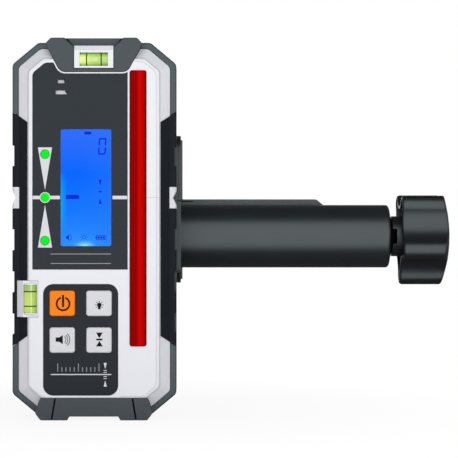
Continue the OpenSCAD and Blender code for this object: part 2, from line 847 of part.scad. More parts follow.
// Level vials in their white holders
module top_vial_holder() color(white_abs) on_body() translate([0, 0, top_vial_z]) difference() {
    beam(-holder_hw, holder_hw) polygon([
        [-holder_proud, -holder_down], [rim_depth, -holder_down], [rim_depth, holder_up],
        [holder_slope_t - holder_proud, holder_up], [-holder_proud, holder_up - holder_slope_l]]);
    translate([0, vial_depth, 0]) rod_x(-vial_l / 2, vial_l / 2, vial_r + fit);
    slab(-holder_proud - overrun, vial_depth)
        square([vial_l - 2 * vial_end, 2 * (vial_r + fit)], center = true);
}

module top_vial() color([0.7, 0.9, 0.4]) on_body()
    translate([0, vial_depth, top_vial_z]) rod_x(-vial_l / 2, vial_l / 2, vial_r);

module side_holder_form(grow = 0, out = 0)
    translate([0, 0, side_vial_z - side_holder_hl - grow]) linear_extrude(2 * (side_holder_hl + grow)) polygon([
        [side_vial_x + vial_r + side_holder_wall + grow, side_holder_front - out],
        [side_vial_x + vial_r + side_holder_wall + grow, side_holder_back],
        [seat_inset + side_holder_in - half_w - grow, side_holder_back],
        [seat_inset + side_holder_in - half_w - grow, rim_depth - fit],
        [seat_inset - half_w - side_holder_lip - grow, rim_depth - fit],
        [seat_inset - half_w - side_holder_lip - grow, rim_depth - fit - side_holder_lip - out],
        [side_vial_x - side_lean, side_holder_front - out]]);

module side_vial_holder() color(white_abs) on_body() difference() {
    side_holder_form();
    translate([side_vial_x, vial_depth, side_vial_z - vial_l / 2]) cylinder(h = vial_l, r = vial_r + fit);
    translate([side_vial_x, 0, side_vial_z]) slab(-overrun, vial_depth)
        square([2 * (vial_r + fit), vial_l - 2 * vial_end], center = true);
}

module side_vial() color([0.7, 0.9, 0.4]) on_body()
    translate([side_vial_x, vial_depth, side_vial_z - vial_l / 2]) cylinder(h = vial_l, r = vial_r);

// Battery compartment behind the keypad, with its hinged door
module battery_tray() color(grey_shell) on_body() translate([0, 0, tray_z]) difference() {
    union() {
        slab(tray_floor - tray_wall, tray_back)
            square([2 * (tray_hl + tray_wall), 2 * (tray_hh + tray_wall)], center = true);
        slab(tray_back - tray_flange_t, tray_back)
            translate([-tray_hl - tray_wall - tray_flange_w, -tray_hh - tray_wall])
                square([2 * (tray_hl + tray_wall + tray_flange_w), 2 * (tray_hh + tray_wall) + tray_flange_w]);
    }
    slab(tray_floor, tray_back + overrun) square([2 * tray_hl, 2 * tray_hh], center = true);
}

module battery_cells() color([0.25, 0.3, 0.4]) on_body()
    for (side = [-1, 1])
        translate([0, cell_depth, tray_z + side * cell_pitch / 2]) mirror([side > 0 ? 0 : 1, 0, 0]) {
            rod_x(-cell_l / 2, cell_l / 2 - button_l, cell_r);
            rod_x(cell_l / 2 - button_l - film, cell_l / 2, button_r);
        }

module battery_contacts() color(steel) on_body()
    for (side = [-1, 1], end = [-1, 1])
        translate([0, cell_depth, tray_z + side * cell_pitch / 2]) mirror([end > 0 ? 0 : 1, 0, 0]) {
            translate([tray_hl - contact_t, -contact_w / 2, -contact_w / 2]) cube([contact_t, contact_w, contact_w]);
            rod_x(cell_l / 2, tray_hl - contact_t + film, contact_bump_r);
        }

module battery_door() color(grey_shell) on_body() difference() {
    union() {
        slab(body_t - door_t, body_t) plate([-door_hw, door_low], [door_hw, door_top], door_r);
        translate([-knuckle_hl, body_t - door_t, hinge_z]) cube([2 * knuckle_hl, door_t, knuckle_drop + door_r]);
        translate([0, hinge_depth, hinge_z]) rod_x(-knuckle_hl, knuckle_hl, knuckle_r);
    }
    translate([0, hinge_depth, hinge_z]) rod_x(-knuckle_hl - overrun, knuckle_hl + overrun, pin_r + run_gap);
}

module door_pin() color(steel) on_body()
    translate([0, hinge_depth, hinge_z]) rod_x(-lug_end, lug_end, pin_r);

// Threaded insert in the back of the housing, and the thumb screw that holds the bracket to it
module thread_insert() color([0.8, 0.65, 0.3]) on_body() translate([0, 0, tongue_z + zero_up]) difference() {
    rod_y(body_t - tongue_sink - insert_l, body_t - tongue_sink, insert_r);
    rod_y(body_t - tongue_sink - insert_l - overrun, body_t, thumb_r + run_gap);
}

module mount_screw() color(steel) on_body() translate([0, 0, tongue_z + zero_up]) {
    head_depth = body_t - tongue_sink + tongue_t;
    rod_y(body_t - tongue_sink - thumb_l, head_depth + film, thumb_r);
    difference() {
        rod_y(head_depth, head_depth + thumb_head_l, thumb_head_r);
        for (i = [0:thumb_scallops - 1])
            rotate([0, i * 360 / thumb_scallops, 0]) translate([thumb_head_r + thumb_scallop_r / 2, 0, 0])
                rod_y(head_depth - overrun, head_depth + thumb_head_l + overrun, thumb_scallop_r);
    }
}

// Clamp bracket: tongue behind the housing, fixed jaw plate, and the arm with its reading edge
module arm_body() intersection() {
    on_axis() rotate([0, 90, 0]) rotate_extrude() {
        square([arm_r, arm_l - arm_edge]);
        square([arm_r - arm_edge, arm_l]);
        translate([arm_r - arm_edge, arm_l - arm_edge]) circle(arm_edge);
    }
    translate([-pad_proud, axis_y - arm_r - overrun, axis_z - arm_r - overrun])
        cube([arm_l + pad_proud + overrun, arm_r + arm_flat + overrun, 2 * (arm_r + overrun)]);
}

module reading_rib() slab(-rib_t, 0) polygon(concat(
    [[-pad_proud, axis_z], [rib_l + rib_run, axis_z]],
    [for (i = [rib_steps:-1:0])
        [rib_l + rib_run * i / rib_steps, (arm_drop - arm_r) * (cos(180 * i / rib_steps) - 1) / 2]],
    [[-pad_proud, 0]]));

module clamp_arm() color(arm_grey) difference() {
    union() {
        translate([body_x, back_y, tongue_z]) slab(-tongue_sink, tongue_t - tongue_sink) tongue_outline();
        beam(-plate_t, -pad_proud)
            rounded([[back_y, -plate_down], [jaw_reach, -plate_down], [jaw_reach, plate_up], [back_y, plate_up]],
                [plate_front_r, plate_r, plate_r, plate_front_r]);
        beam(-pad_proud - film, slot_start) intersection() {
            translate([axis_y, axis_z]) circle(arm_r);
            translate([axis_y - arm_r, axis_z - arm_r]) square([arm_r + arm_flat, 2 * arm_r]);
        }
        arm_body();
        reading_rib();
        slab(-rib_t, 0) difference() {
            translate([-pad_proud - film, -film]) square([rib_fillet, rib_fillet]);
            translate([rib_fillet - pad_proud, rib_fillet]) circle(rib_fillet);
        }
    }
    on_axis() {
        rod_x(0, arm_l + overrun, bore_r);
        rod_x(arm_l - bush_flange_l, arm_l + overrun, bore_r + bush_flange_w);
    }
    translate([slot_start, axis_y, axis_z - slot_hw])
        cube([bush_in - slot_start, arm_flat + overrun, 2 * slot_hw]);
    translate([body_x, back_y, tongue_z]) rod_y(-tongue_sink - overrun, tongue_t + overrun, thumb_r + thumb_hole_gap);
    jaw_pad_form(fit, overrun);
    translate([-pad_proud, -rib_t - film, -index_down - index_w])
        cube([index_l, index_w, index_w]);
    translate([-plate_t - overrun, back_y - film, -index_down - index_w])
        cube([plate_t + 2 * overrun, index_w, index_w]);
}

module jaw_pad_form(grow = 0, out = 0)
    beam(-pad_t, out) translate([0, pad_margin - plate_down - grow])
        square([jaw_reach - pad_margin + grow, plate_up + plate_down - 2 * (pad_margin - grow)]);

module fixed_jaw_pad() color(black_rubber) jaw_pad_form();

// Moving jaw: a nut that slides in the arm, its neck through the slot, and the jaw behind
module moving_jaw() color(arm_grey) difference() {
    union() {
        on_axis() rod_x(jaw_open + pad_t, jaw_open + pad_t + carriage_l, bore_r - move_gap);
        translate([jaw_open + pad_t, axis_y, axis_z - slot_hw + move_gap])
            cube([carriage_l, arm_flat + jaw_lift + film, 2 * (slot_hw - move_gap)]);
        beam(jaw_open + pad_proud, jaw_open + pad_proud + jaw_plate_t)
            plate([jaw_lift, axis_z - jaw_hh], [jaw_reach, axis_z + jaw_hh], jaw_edge);
        translate([0, 0, axis_z - web_hh]) linear_extrude(2 * web_hh) polygon([
            [jaw_open + pad_proud + jaw_plate_t - film, jaw_lift],
            [jaw_open + pad_t + carriage_l, jaw_lift],
            [jaw_open + pad_proud + jaw_plate_t - film, jaw_reach - jaw_edge]]);
    }
    on_axis() rod_x(jaw_open, jaw_open + pad_t + carriage_l + overrun, spindle_r + run_gap);
    moving_pad_form(fit, overrun);
}

module moving_pad_form(grow = 0, out = 0)
    beam(jaw_open - out, jaw_open + pad_t)
        plate([jaw_lift + pad_margin, axis_z - jaw_hh + pad_margin],
            [jaw_reach - pad_margin, axis_z + jaw_hh - pad_margin], pad_proud, grow);

module moving_jaw_pad() color(black_rubber) moving_pad_form();

// Spindle that turns in two bushes inside the arm and drives the moving jaw
module spindle() color(steel) on_axis() difference() {
    union() {
        rod_x(run_gap, bush_l + move_gap + film, journal_r);
        rod_x(bush_l + move_gap, spindle_end, spindle_r);
        rod_x(bush_in - move_gap - shoulder_l, bush_in - move_gap, shoulder_r);
    }
    rod_x(screw_seat - knob_screw_l - fit, spindle_end + overrun, knob_screw_r + fit);
}

module inner_bush() color([0.8, 0.7, 0.4]) on_axis() difference() {
    rod_x(0, bush_l, bore_r - fit);
    rod_x(-overrun, bush_l + overrun, journal_r + run_gap);
}

module end_bush() color(arm_grey) on_axis() difference() {
    union() {
        rod_x(bush_in, arm_l, bore_r - fit);
        rod_x(arm_l - bush_flange_l, arm_l, bore_r + bush_flange_w - fit);
    }
    rod_x(bush_in - overrun, arm_l + overrun, spindle_r + run_gap);
}

// Star knob with hollow lobes, its notched hub, washer, screw and cover
module thrust_washer() color(steel) on_axis() difference() {
    rod_x(washer_x, hub_x, washer_r);
    rod_x(washer_x - overrun, hub_x + overrun, spindle_r + run_gap);
}

function arc_points(centre, r, from, to, steps) = [for (i = [0:steps])
    let (a = from + (to - from) * i / steps) centre + r * [cos(a), sin(a)]];

// Outline of the lobes and the valleys between them, drawn in by an inset
module star(inset = 0) polygon([for (i = [0:knob_lobes - 1]) let (
    a = star_turn + 2 * i * lobe_half,
    v = a + lobe_half) each concat(
        arc_points(lobe_ring * [cos(a), sin(a)], lobe_r - inset, a - lobe_turn, a + lobe_turn, lobe_steps),
        arc_points(valley_ring * [cos(v), sin(v)], valley_r + inset, a + lobe_turn + 180,
            a + 2 * lobe_half - lobe_turn + 180, valley_steps))]);

// Height of the knob's domed end over its rim
function dome_at(r) = knob_dome * (1 - r * r / (dome_r * dome_r));

module knob() color(black_rubber) on_axis() difference() {
    union() {
        rod_x(hub_x, spindle_end + film, hub_r);
        intersection() {
            difference() {
                beam(knob_x, knob_crown) star();
                beam(knob_x - overrun, spindle_end) star(knob_wall);
            }
            translate([knob_x, 0, 0]) rotate([0, 90, 0]) rotate_extrude() polygon(concat(
                [[0, 0], [dome_r, 0], [knob_r + knob_edge, 2 * knob_edge],
                [knob_r + knob_edge, knob_l - 2 * knob_edge]],
                [for (i = [dome_steps:-1:0]) let (r = dome_r * i / dome_steps) [r, knob_l + dome_at(r)]]));
        }
    }
    rod_x(hub_x - overrun, spindle_end, spindle_r + run_gap / 2);
    rod_x(spindle_end - overrun, knob_crown + overrun, knob_screw_r + fit);
    rod_x(screw_seat, knob_crown + overrun, knob_screw_head_r + fit);
    rod_x(cap_seat, knob_crown + overrun, cap_r + fit);
    difference() {
        translate([hub_x - overrun, -hub_r - overrun, -hub_notch_w / 2])
            cube([hub_notch_l + overrun, 2 * (hub_r + overrun), hub_notch_w]);
        rod_x(hub_x - 2 * overrun, hub_x + hub_notch_l + overrun, hub_sleeve_r);
    }
}

module knob_screw() color(steel) on_axis() {
    rod_x(screw_seat - knob_screw_l, screw_seat + film, knob_screw_r);
    rod_x(screw_seat, screw_seat + knob_screw_head_t, knob_screw_head_r);
}

module knob_cap() color(panel_grey) on_axis()
    translate([knob_end, 0, 0]) rotate([0, 90, 0]) rotate_extrude() polygon([
        [0, dome_at(cap_r) - cap_t], [cap_r, dome_at(cap_r) - cap_t], [cap_r, dome_at(cap_r) - cap_sink],
        [cap_r / 2, dome_at(cap_r / 2) - cap_sink], [0, knob_dome - cap_sink]]);

front_shell();
rear_shell();
housing_seal();
case_screws();
top_bumper();
bottom_bumper();
left_grip();
right_grip();
left_mark();
right_mark();
display_panel();
display_window();
lcd_module();
backlight();
sensor_window();
position_lights();
keypad_panel();
power_key();
light_key();
sound_key();
precision_key();
key_switches();
main_board();
board_screws();
sensor_board();
photodiodes();
buzzer();
top_vial_holder();
top_vial();
side_vial_holder();
side_vial();
battery_tray();
battery_cells();
battery_contacts();
battery_door();
door_pin();
thread_insert();
clamp_arm();
fixed_jaw_pad();
moving_jaw();
moving_jaw_pad();
spindle();
inner_bush();
end_bush();
thrust_washer();
knob();
knob_screw();
knob_cap();
mount_screw();
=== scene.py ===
import json
from math import asin, atan2, cos, degrees, hypot, pi, radians, sin, sqrt

import bmesh
import bpy
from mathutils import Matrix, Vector


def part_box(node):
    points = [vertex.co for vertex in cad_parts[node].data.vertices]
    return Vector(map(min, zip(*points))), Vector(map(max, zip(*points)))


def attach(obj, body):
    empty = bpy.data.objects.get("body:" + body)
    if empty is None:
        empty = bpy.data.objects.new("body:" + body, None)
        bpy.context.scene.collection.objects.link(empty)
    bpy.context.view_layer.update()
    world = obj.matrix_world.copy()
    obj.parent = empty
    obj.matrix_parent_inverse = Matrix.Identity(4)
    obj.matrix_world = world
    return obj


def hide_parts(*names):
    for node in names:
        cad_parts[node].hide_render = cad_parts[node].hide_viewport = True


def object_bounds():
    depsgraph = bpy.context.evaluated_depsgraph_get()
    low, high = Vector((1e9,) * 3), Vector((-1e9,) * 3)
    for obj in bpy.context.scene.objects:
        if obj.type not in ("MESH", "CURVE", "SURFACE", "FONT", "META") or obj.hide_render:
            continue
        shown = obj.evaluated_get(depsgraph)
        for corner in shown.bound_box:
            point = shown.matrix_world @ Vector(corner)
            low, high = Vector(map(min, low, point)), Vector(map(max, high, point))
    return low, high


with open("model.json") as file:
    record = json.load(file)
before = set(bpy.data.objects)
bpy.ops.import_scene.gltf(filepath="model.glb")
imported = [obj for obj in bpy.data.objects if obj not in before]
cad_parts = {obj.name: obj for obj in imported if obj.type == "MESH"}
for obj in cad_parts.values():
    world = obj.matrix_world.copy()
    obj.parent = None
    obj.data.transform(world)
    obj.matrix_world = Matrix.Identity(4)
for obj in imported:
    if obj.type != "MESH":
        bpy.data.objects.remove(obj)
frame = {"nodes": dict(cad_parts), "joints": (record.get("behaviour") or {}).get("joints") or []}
CAD_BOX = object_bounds()

# Units, the housing's middle and its front face
MM = 0.001
SHELL_LOW, SHELL_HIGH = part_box("rear_shell")
MIDDLE_X = (SHELL_LOW.x + SHELL_HIGH.x) / 2
MIDDLE_Z = (SHELL_LOW.z + SHELL_HIGH.z) / 2
FACE_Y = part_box("display_panel")[0].y
FLOOR_Z = CAD_BOX[0].z


def at(x, z, depth=0.0):
    """A place in millimetres right of and over the housing's middle, and behind its front face."""
    return Vector((MIDDLE_X + x * MM, FACE_Y + depth * MM, MIDDLE_Z + z * MM))


def local_box(node):
    """A node's box in the same millimetres: left, right, low, high, front, back."""
    low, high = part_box(node)
    return ((low.x - MIDDLE_X) / MM, (high.x - MIDDLE_X) / MM, (low.z - MIDDLE_Z) / MM,
            (high.z - MIDDLE_Z) / MM, (low.y - FACE_Y) / MM, (high.y - FACE_Y) / MM)


# Shader maths
def joined_by(operation, swapped=False):
    """A method that joins a wire and another value in a Math node."""
    def method(self, other):
        return self.maths(operation, other, self) if swapped else self.maths(operation, self, other)
    return method


class Wire:
    """One output in a material's node tree. Sums and products of wires add Math nodes."""

    def __init__(self, tree, socket=None):
        self.tree = tree
        self.socket = socket

    def make(self, kind, settings=None, sockets=None, out=0):
        """Any node: its type, its settings, then the values or wires of its sockets."""
        node = self.tree.nodes.new("ShaderNode" + kind)
        for name, value in (settings or {}).items():
            if name == "stops":
                set_stops(node.color_ramp, value)
            else:
                setattr(node, name, value)
        for name, value in (sockets or {}).items():
            join(self.tree, value, node.inputs[name])
        return Wire(self.tree, node.outputs[out])

    def maths(self, operation, *values):
        return self.make("Math", {"operation": operation}, dict(enumerate(values)))

    __add__ = __radd__ = joined_by("ADD")
    __sub__ = joined_by("SUBTRACT")
    __rsub__ = joined_by("SUBTRACT", True)
    __mul__ = __rmul__ = joined_by("MULTIPLY")
    __truediv__ = joined_by("DIVIDE")
    __pow__ = joined_by("POWER")
    __gt__ = joined_by("GREATER_THAN")
    __lt__ = joined_by("LESS_THAN")

    def __abs__(self):
        return self.maths("ABSOLUTE", self)

    def clipped(self):
        return self.maths("MINIMUM", self.maths("MAXIMUM", self, 0.0), 1.0)

    def blend(self, first, second):
        """A colour between two others, by this wire held between 0 and 1."""
        return self.make("Mix", {"data_type": "RGBA"}, {0: self.clipped(), 6: first, 7: second}, 2)


def join(tree, value, socket):
    """Links a wire to a socket, or sets its value."""
    if isinstance(value, Wire):
        tree.links.new(value.socket, socket)
    elif isinstance(value, (tuple, list)) and len(value) == 3 and socket.type == "RGBA":
        socket.default_value = (*value, 1.0)
    else:
        socket.default_value = value


def set_stops(ramp, stops):
    while len(ramp.elements) < len(stops):
        ramp.elements.new(0.5)
    for element, (place, colour) in zip(ramp.elements, stops):
        element.position = place
        element.color = (*colour, 1.0)


def scaled(colour, share):
    return tuple(min(1.0, c * share) for c in colour)


def new_skin(name):
    """A wire to start from in the node tree of a new material."""
    material = bpy.data.materials.new(name)
    material.use_nodes = True
    skin = Wire(material.node_tree)
    skin.material = material
    return skin


def coat_skin(skin, sockets):
    """Sets or links the shader's sockets, and gives the material."""
    shader = skin.tree.nodes["Principled BSDF"]
    for name, value in sockets.items():
        join(skin.tree, value, shader.inputs[name])
    return skin.material


def places(skin):
    return skin.make("TexCoord", out="Object")


def noise(skin, size, detail=3.0, rough=0.55):
    """Noise whose grain is about size millimetres."""
    return skin.make("TexNoise", {}, {
        "Vector": places(skin), "Scale": 1 / (size * MM), "Detail": detail, "Roughness": rough})


def relief(skin, height, depth, strength=1.0):
    """Bumps of a depth in millimetres."""
    return skin.make("Bump", {}, {"Strength": strength, "Distance": depth * MM, "Height": height})


def axis_share(skin, axis, low, high):
    """0 to 1 between two limits on an axis."""
    return (skin.make("SeparateXYZ", {}, {0: places(skin)}, axis) - low) / (high - low)


def rubbed_edges(skin, radius):
    """Near 1 on outer edges, 0 on flat faces."""
    gain = 5.0
    softer = skin.make("Bevel", {"samples": 4}, {"Radius": radius * MM})
    plain = skin.make("NewGeometry", out="Normal")
    alike = skin.make("VectorMath", {"operation": "DOT_PRODUCT"}, {0: softer, 1: plain}, "Value")
    return (1.0 - alike) * gain


def inner_corners(skin, reach):
    """Near 1 deep in the piece's own corners, 0 on open faces."""
    settings = {"samples": 8, "only_local": True}
    return 1.0 - skin.make("AmbientOcclusion", settings, {"Distance": reach * MM}, "AO")


def painted_side_shade(skin):
    """Painted shade mask: 0 where a surface faces the front, 1 where it turns to a side."""
    normal = skin.make("NewGeometry", out="Normal")
    return 1.0 - abs(skin.make("SeparateXYZ", {}, {0: normal}, "Y"))


# Moulded, printed and metal finishes
WHITE = (1.0, 1.0, 1.0)
COOL_SHEEN = (0.85, 0.97, 1.0)


def moulded(name, colour, roughness, grain=0.3, depth=0.012, mottle=0.08, wear=0.25, gloss=0.5,
            sheen=WHITE, edge_tone=0.85, painted_corner_shade=0.0):
    """Moulded plastic or rubber: grain, clouds, rubbed edges, and painted shade darkening its inner corners.
    """
    cloud_size, patch_size, patch_base, edge_r, rub_share = 14.0, 3.0, 0.4, 0.5, 0.18
    corner_reach, unshaded_share, corner_shade_share = 2.0, 0.06, 0.5
    fine_share, cloud_share, smooth_share = 0.12, 0.08, 0.1
    skin = new_skin(name)
    fine = noise(skin, grain, 2.0)
    cloud = noise(skin, cloud_size)
    edge = (rubbed_edges(skin, edge_r) * (patch_base + noise(skin, patch_size))).clipped()
    body = cloud.blend(scaled(colour, 1 - mottle), scaled(colour, 1 + mottle))
    rubbed = tuple(c + (edge_tone - c) * rub_share for c in colour)
    # Painted shade: ambient occlusion darkens the inner corners.
    if painted_corner_shade:
        corner = inner_corners(skin, corner_reach) - unshaded_share
        body = (corner * painted_corner_shade).blend(body, scaled(colour, corner_shade_share))
    uneven = fine_share * (fine - 0.5) + cloud_share * (cloud - 0.5) - smooth_share * wear * edge
    return coat_skin(skin, {
        "Base Color": (edge * wear).blend(body, rubbed), "Roughness": (roughness + uneven).clipped(),
        "Specular IOR Level": gloss, "Specular Tint": sheen, "Normal": relief(skin, fine, depth)})


def printed_film(name, colour, roughness=0.5, gloss=0.5):
    """Screen-printed film: satin, with a fine stipple and faint dust."""
    stipple_size, dust_size, cloud_size, depth = 0.18, 0.5, 20.0, 0.004
    dust_from, dust_gain, dust_share, dust_tone = 0.66, 6.0, 0.1, (0.5, 0.5, 0.5)
    mottle, stipple_share, cloud_share = 0.08, 0.1, 0.06
    skin = new_skin(name)
    stipple = noise(skin, stipple_size, 1.0)
    dust = (noise(skin, dust_size, 2.0, rough=0.7) - dust_from) * dust_gain
    cloud = noise(skin, cloud_size)
    body = cloud.blend(scaled(colour, 1 - mottle), scaled(colour, 1 + mottle))
    uneven = stipple_share * (stipple - 0.5) + cloud_share * (cloud - 0.5)
    return coat_skin(skin, {
        "Base Color": (dust.clipped() * dust_share).blend(body, dust_tone),
        "Roughness": (roughness + uneven).clipped(), "Specular IOR Level": gloss,
        "Normal": relief(skin, stipple, depth)})


def turned_metal(name, colour, roughness, axis):
    """Turned or plated metal with fine rings along its axis and faint tarnish."""
    rings_per_mm, tarnish_size, dull, bright = 6.0, 4.0, 0.82, 1.05
    ring_share, tarnish_share, depth = 0.12, 0.15, 0.01
    skin = new_skin(name)
    along = skin.make("SeparateXYZ", {}, {0: places(skin)}, axis) / MM
    rings = skin.make("TexNoise", {"noise_dimensions": "1D"}, {
        "W": along, "Scale": rings_per_mm, "Detail": 2.0})
    tarnish = noise(skin, tarnish_size, 4.0)
    uneven = ring_share * (rings - 0.5) + tarnish_share * (tarnish - 0.5)
    return coat_skin(skin, {
        "Base Color": tarnish.blend(scaled(colour, dull), scaled(colour, bright)), "Metallic": 1.0,
        "Roughness": (roughness + uneven).clipped(), "Normal": relief(skin, rings, depth, 0.5)})


def board_mask():
    """Green solder mask over copper tracks."""
    skin = new_skin("board_mask")
    track = skin.make("TexBrick", {}, {
        "Vector": places(skin), "Scale": 160.0, "Mortar Size": 0.03, "Color1": (0.012, 0.13, 0.05),
        "Color2": (0.02, 0.17, 0.06), "Mortar": (0.05, 0.3, 0.1)})
    grain = noise(skin, 0.6)
    return coat_skin(skin, {
        "Base Color": track, "Roughness": 0.3 + 0.15 * grain, "Normal": relief(skin, grain, 0.02, 0.4)})


def cell_sleeve():
    """Dark cell sleeve with copper-coloured bands and metal tips."""
    tip_from, band_from = 0.468, 0.3
    dark, copper, metal, scuffed = (0.03, 0.035, 0.05), (0.5, 0.25, 0.08), (0.6, 0.6, 0.62), (0.2, 0.2, 0.2)
    skin = new_skin("cell_sleeve")
    low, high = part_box("battery_cells")
    from_middle = abs(axis_share(skin, "X", low.x, high.x) - 0.5)
    tip = from_middle > tip_from
    band = (from_middle > band_from) * (from_middle < tip_from)
    grain = noise(skin, 0.8)
    colour = tip.blend(band.blend(dark, copper), metal)
    return coat_skin(skin, {
        "Base Color": (grain * 0.1).blend(colour, scuffed), "Metallic": tip, "Roughness": 0.3 + 0.15 * grain,
        "Normal": relief(skin, grain, 0.01, 0.3)})


# Lit and tinted finishes
def lit_display():
    """Blue display lit from behind, cyan along its left edge, with a glow below."""
    blue_stops = [(0.0, (0.025, 0.27, 0.98)), (0.3, (0.006, 0.19, 1.0)), (0.62, (0.001, 0.135, 1.0)),
                  (1.0, (0.03, 0.155, 0.98))]
    right_tone, edge_tone = (0.02, 0.19, 0.98), (0.0, 0.42, 1.0)
    halo_tone, lamp_tone = (0.06, 0.38, 1.0), (0.3, 0.92, 0.95)
    right_from, right_gain, edge_w, edge_up, edge_fall = 0.35, 0.6, 0.13, 0.38, 14.0
    lamp_place, lamp_narrow, lamp_flat, halo_reach = 0.48, 18.0, 380.0, 2.8
    skin = new_skin("lit_display")
    low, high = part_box("display_window")
    across = axis_share(skin, "X", low.x, high.x)
    up = axis_share(skin, "Z", low.z, high.z)
    ground = skin.make("ValToRGB", {"stops": blue_stops}, {0: up})
    side = ((across - right_from) * right_gain).blend(ground, right_tone)
    over = up - edge_up
    edge = (1.0 - across / edge_w).clipped() * (1.0 - over * over * edge_fall).clipped()
    rim = (edge * 0.8).blend(side, edge_tone)
    off = across - lamp_place
    away = (off * off * lamp_narrow + up * up * lamp_flat) ** 0.5
    halo = (1.0 - away / halo_reach).clipped() ** 2.0
    soft = (halo * 0.5).blend(rim, halo_tone)
    glow = ((1.0 - away).clipped() ** 1.4).blend(soft, lamp_tone)
    speck = noise(skin, 0.25, 1.0)
    return coat_skin(skin, {
        "Base Color": (0.0, 0.002, 0.02), "Roughness": 0.16 + 0.06 * speck, "Specular IOR Level": 0.015,
        "Emission Color": glow, "Emission Strength": 0.97, "Normal": relief(skin, speck, 0.002, 0.3)})


def display_ink():
    """Dark segments that let little blue light through."""
    skin = new_skin("display_ink")
    speck = noise(skin, 0.25, 1.0)
    return coat_skin(skin, {
        "Base Color": (0.0, 0.001, 0.01), "Roughness": 0.2 + 0.06 * speck, "Specular IOR Level": 0.015,
        "Emission Color": speck.blend((0.004, 0.02, 0.6), (0.006, 0.025, 0.74)), "Emission Strength": 1.0})


def red_filter():
    """Tinted filter with painted light and shade across it: darker at its left and edges, a painted highlight
    right of its middle.
    """
    painted_red_stops = [(0.0, (0.07, 0.003, 0.003)), (0.08, (0.26, 0.0, 0.0)), (0.42, (0.28, 0.0, 0.0)),
                 (0.57, (0.57, 0.0, 0.0)), (0.66, (0.55, 0.0, 0.0)), (0.78, (0.41, 0.0, 0.0)),
                 (0.86, (0.38, 0.0, 0.0)), (0.95, (0.13, 0.002, 0.002))]
    skin = new_skin("red_filter")
    low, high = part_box("sensor_window")
    # Painted light and shade: the tone is set by place across the filter.
    tone = skin.make("ValToRGB", {"stops": painted_red_stops}, {0: axis_share(skin, "X", low.x, high.x)})
    streak = noise(skin, 6.0, 2.0)
    # The faint emission is a painted glow.
    return coat_skin(skin, {
        "Base Color": (0.2 * streak).blend(tone, (0.3, 0.0, 0.0)), "Roughness": 0.2 + 0.1 * streak,
        "Specular IOR Level": 0.015, "Emission Color": tone, "Emission Strength": 0.12,
        "Normal": relief(skin, streak, 0.01, 0.2)})


def lamp_green():
    """Clear green lens over a lamp, its glow painted brightest where it faces the front and shaded to its
    sides.
    """
    middle_tone, shaded_side_tone = (0.001, 0.93, 0.012), (0.0, 0.55, 0.01)
    skin = new_skin("lamp_green")
    cells = noise(skin, 0.5, 1.0)
    # Painted shade: the glow dims where the lens turns to a side.
    return coat_skin(skin, {
        "Base Color": (0.0, 0.02, 0.0), "Roughness": 0.12 + 0.1 * cells, "Specular IOR Level": 0.02,
        "Emission Color": (painted_side_shade(skin) * 1.2).blend(middle_tone, shaded_side_tone), "Emission Strength": 1.0,
        "Normal": relief(skin, cells, 0.01, 0.2)})


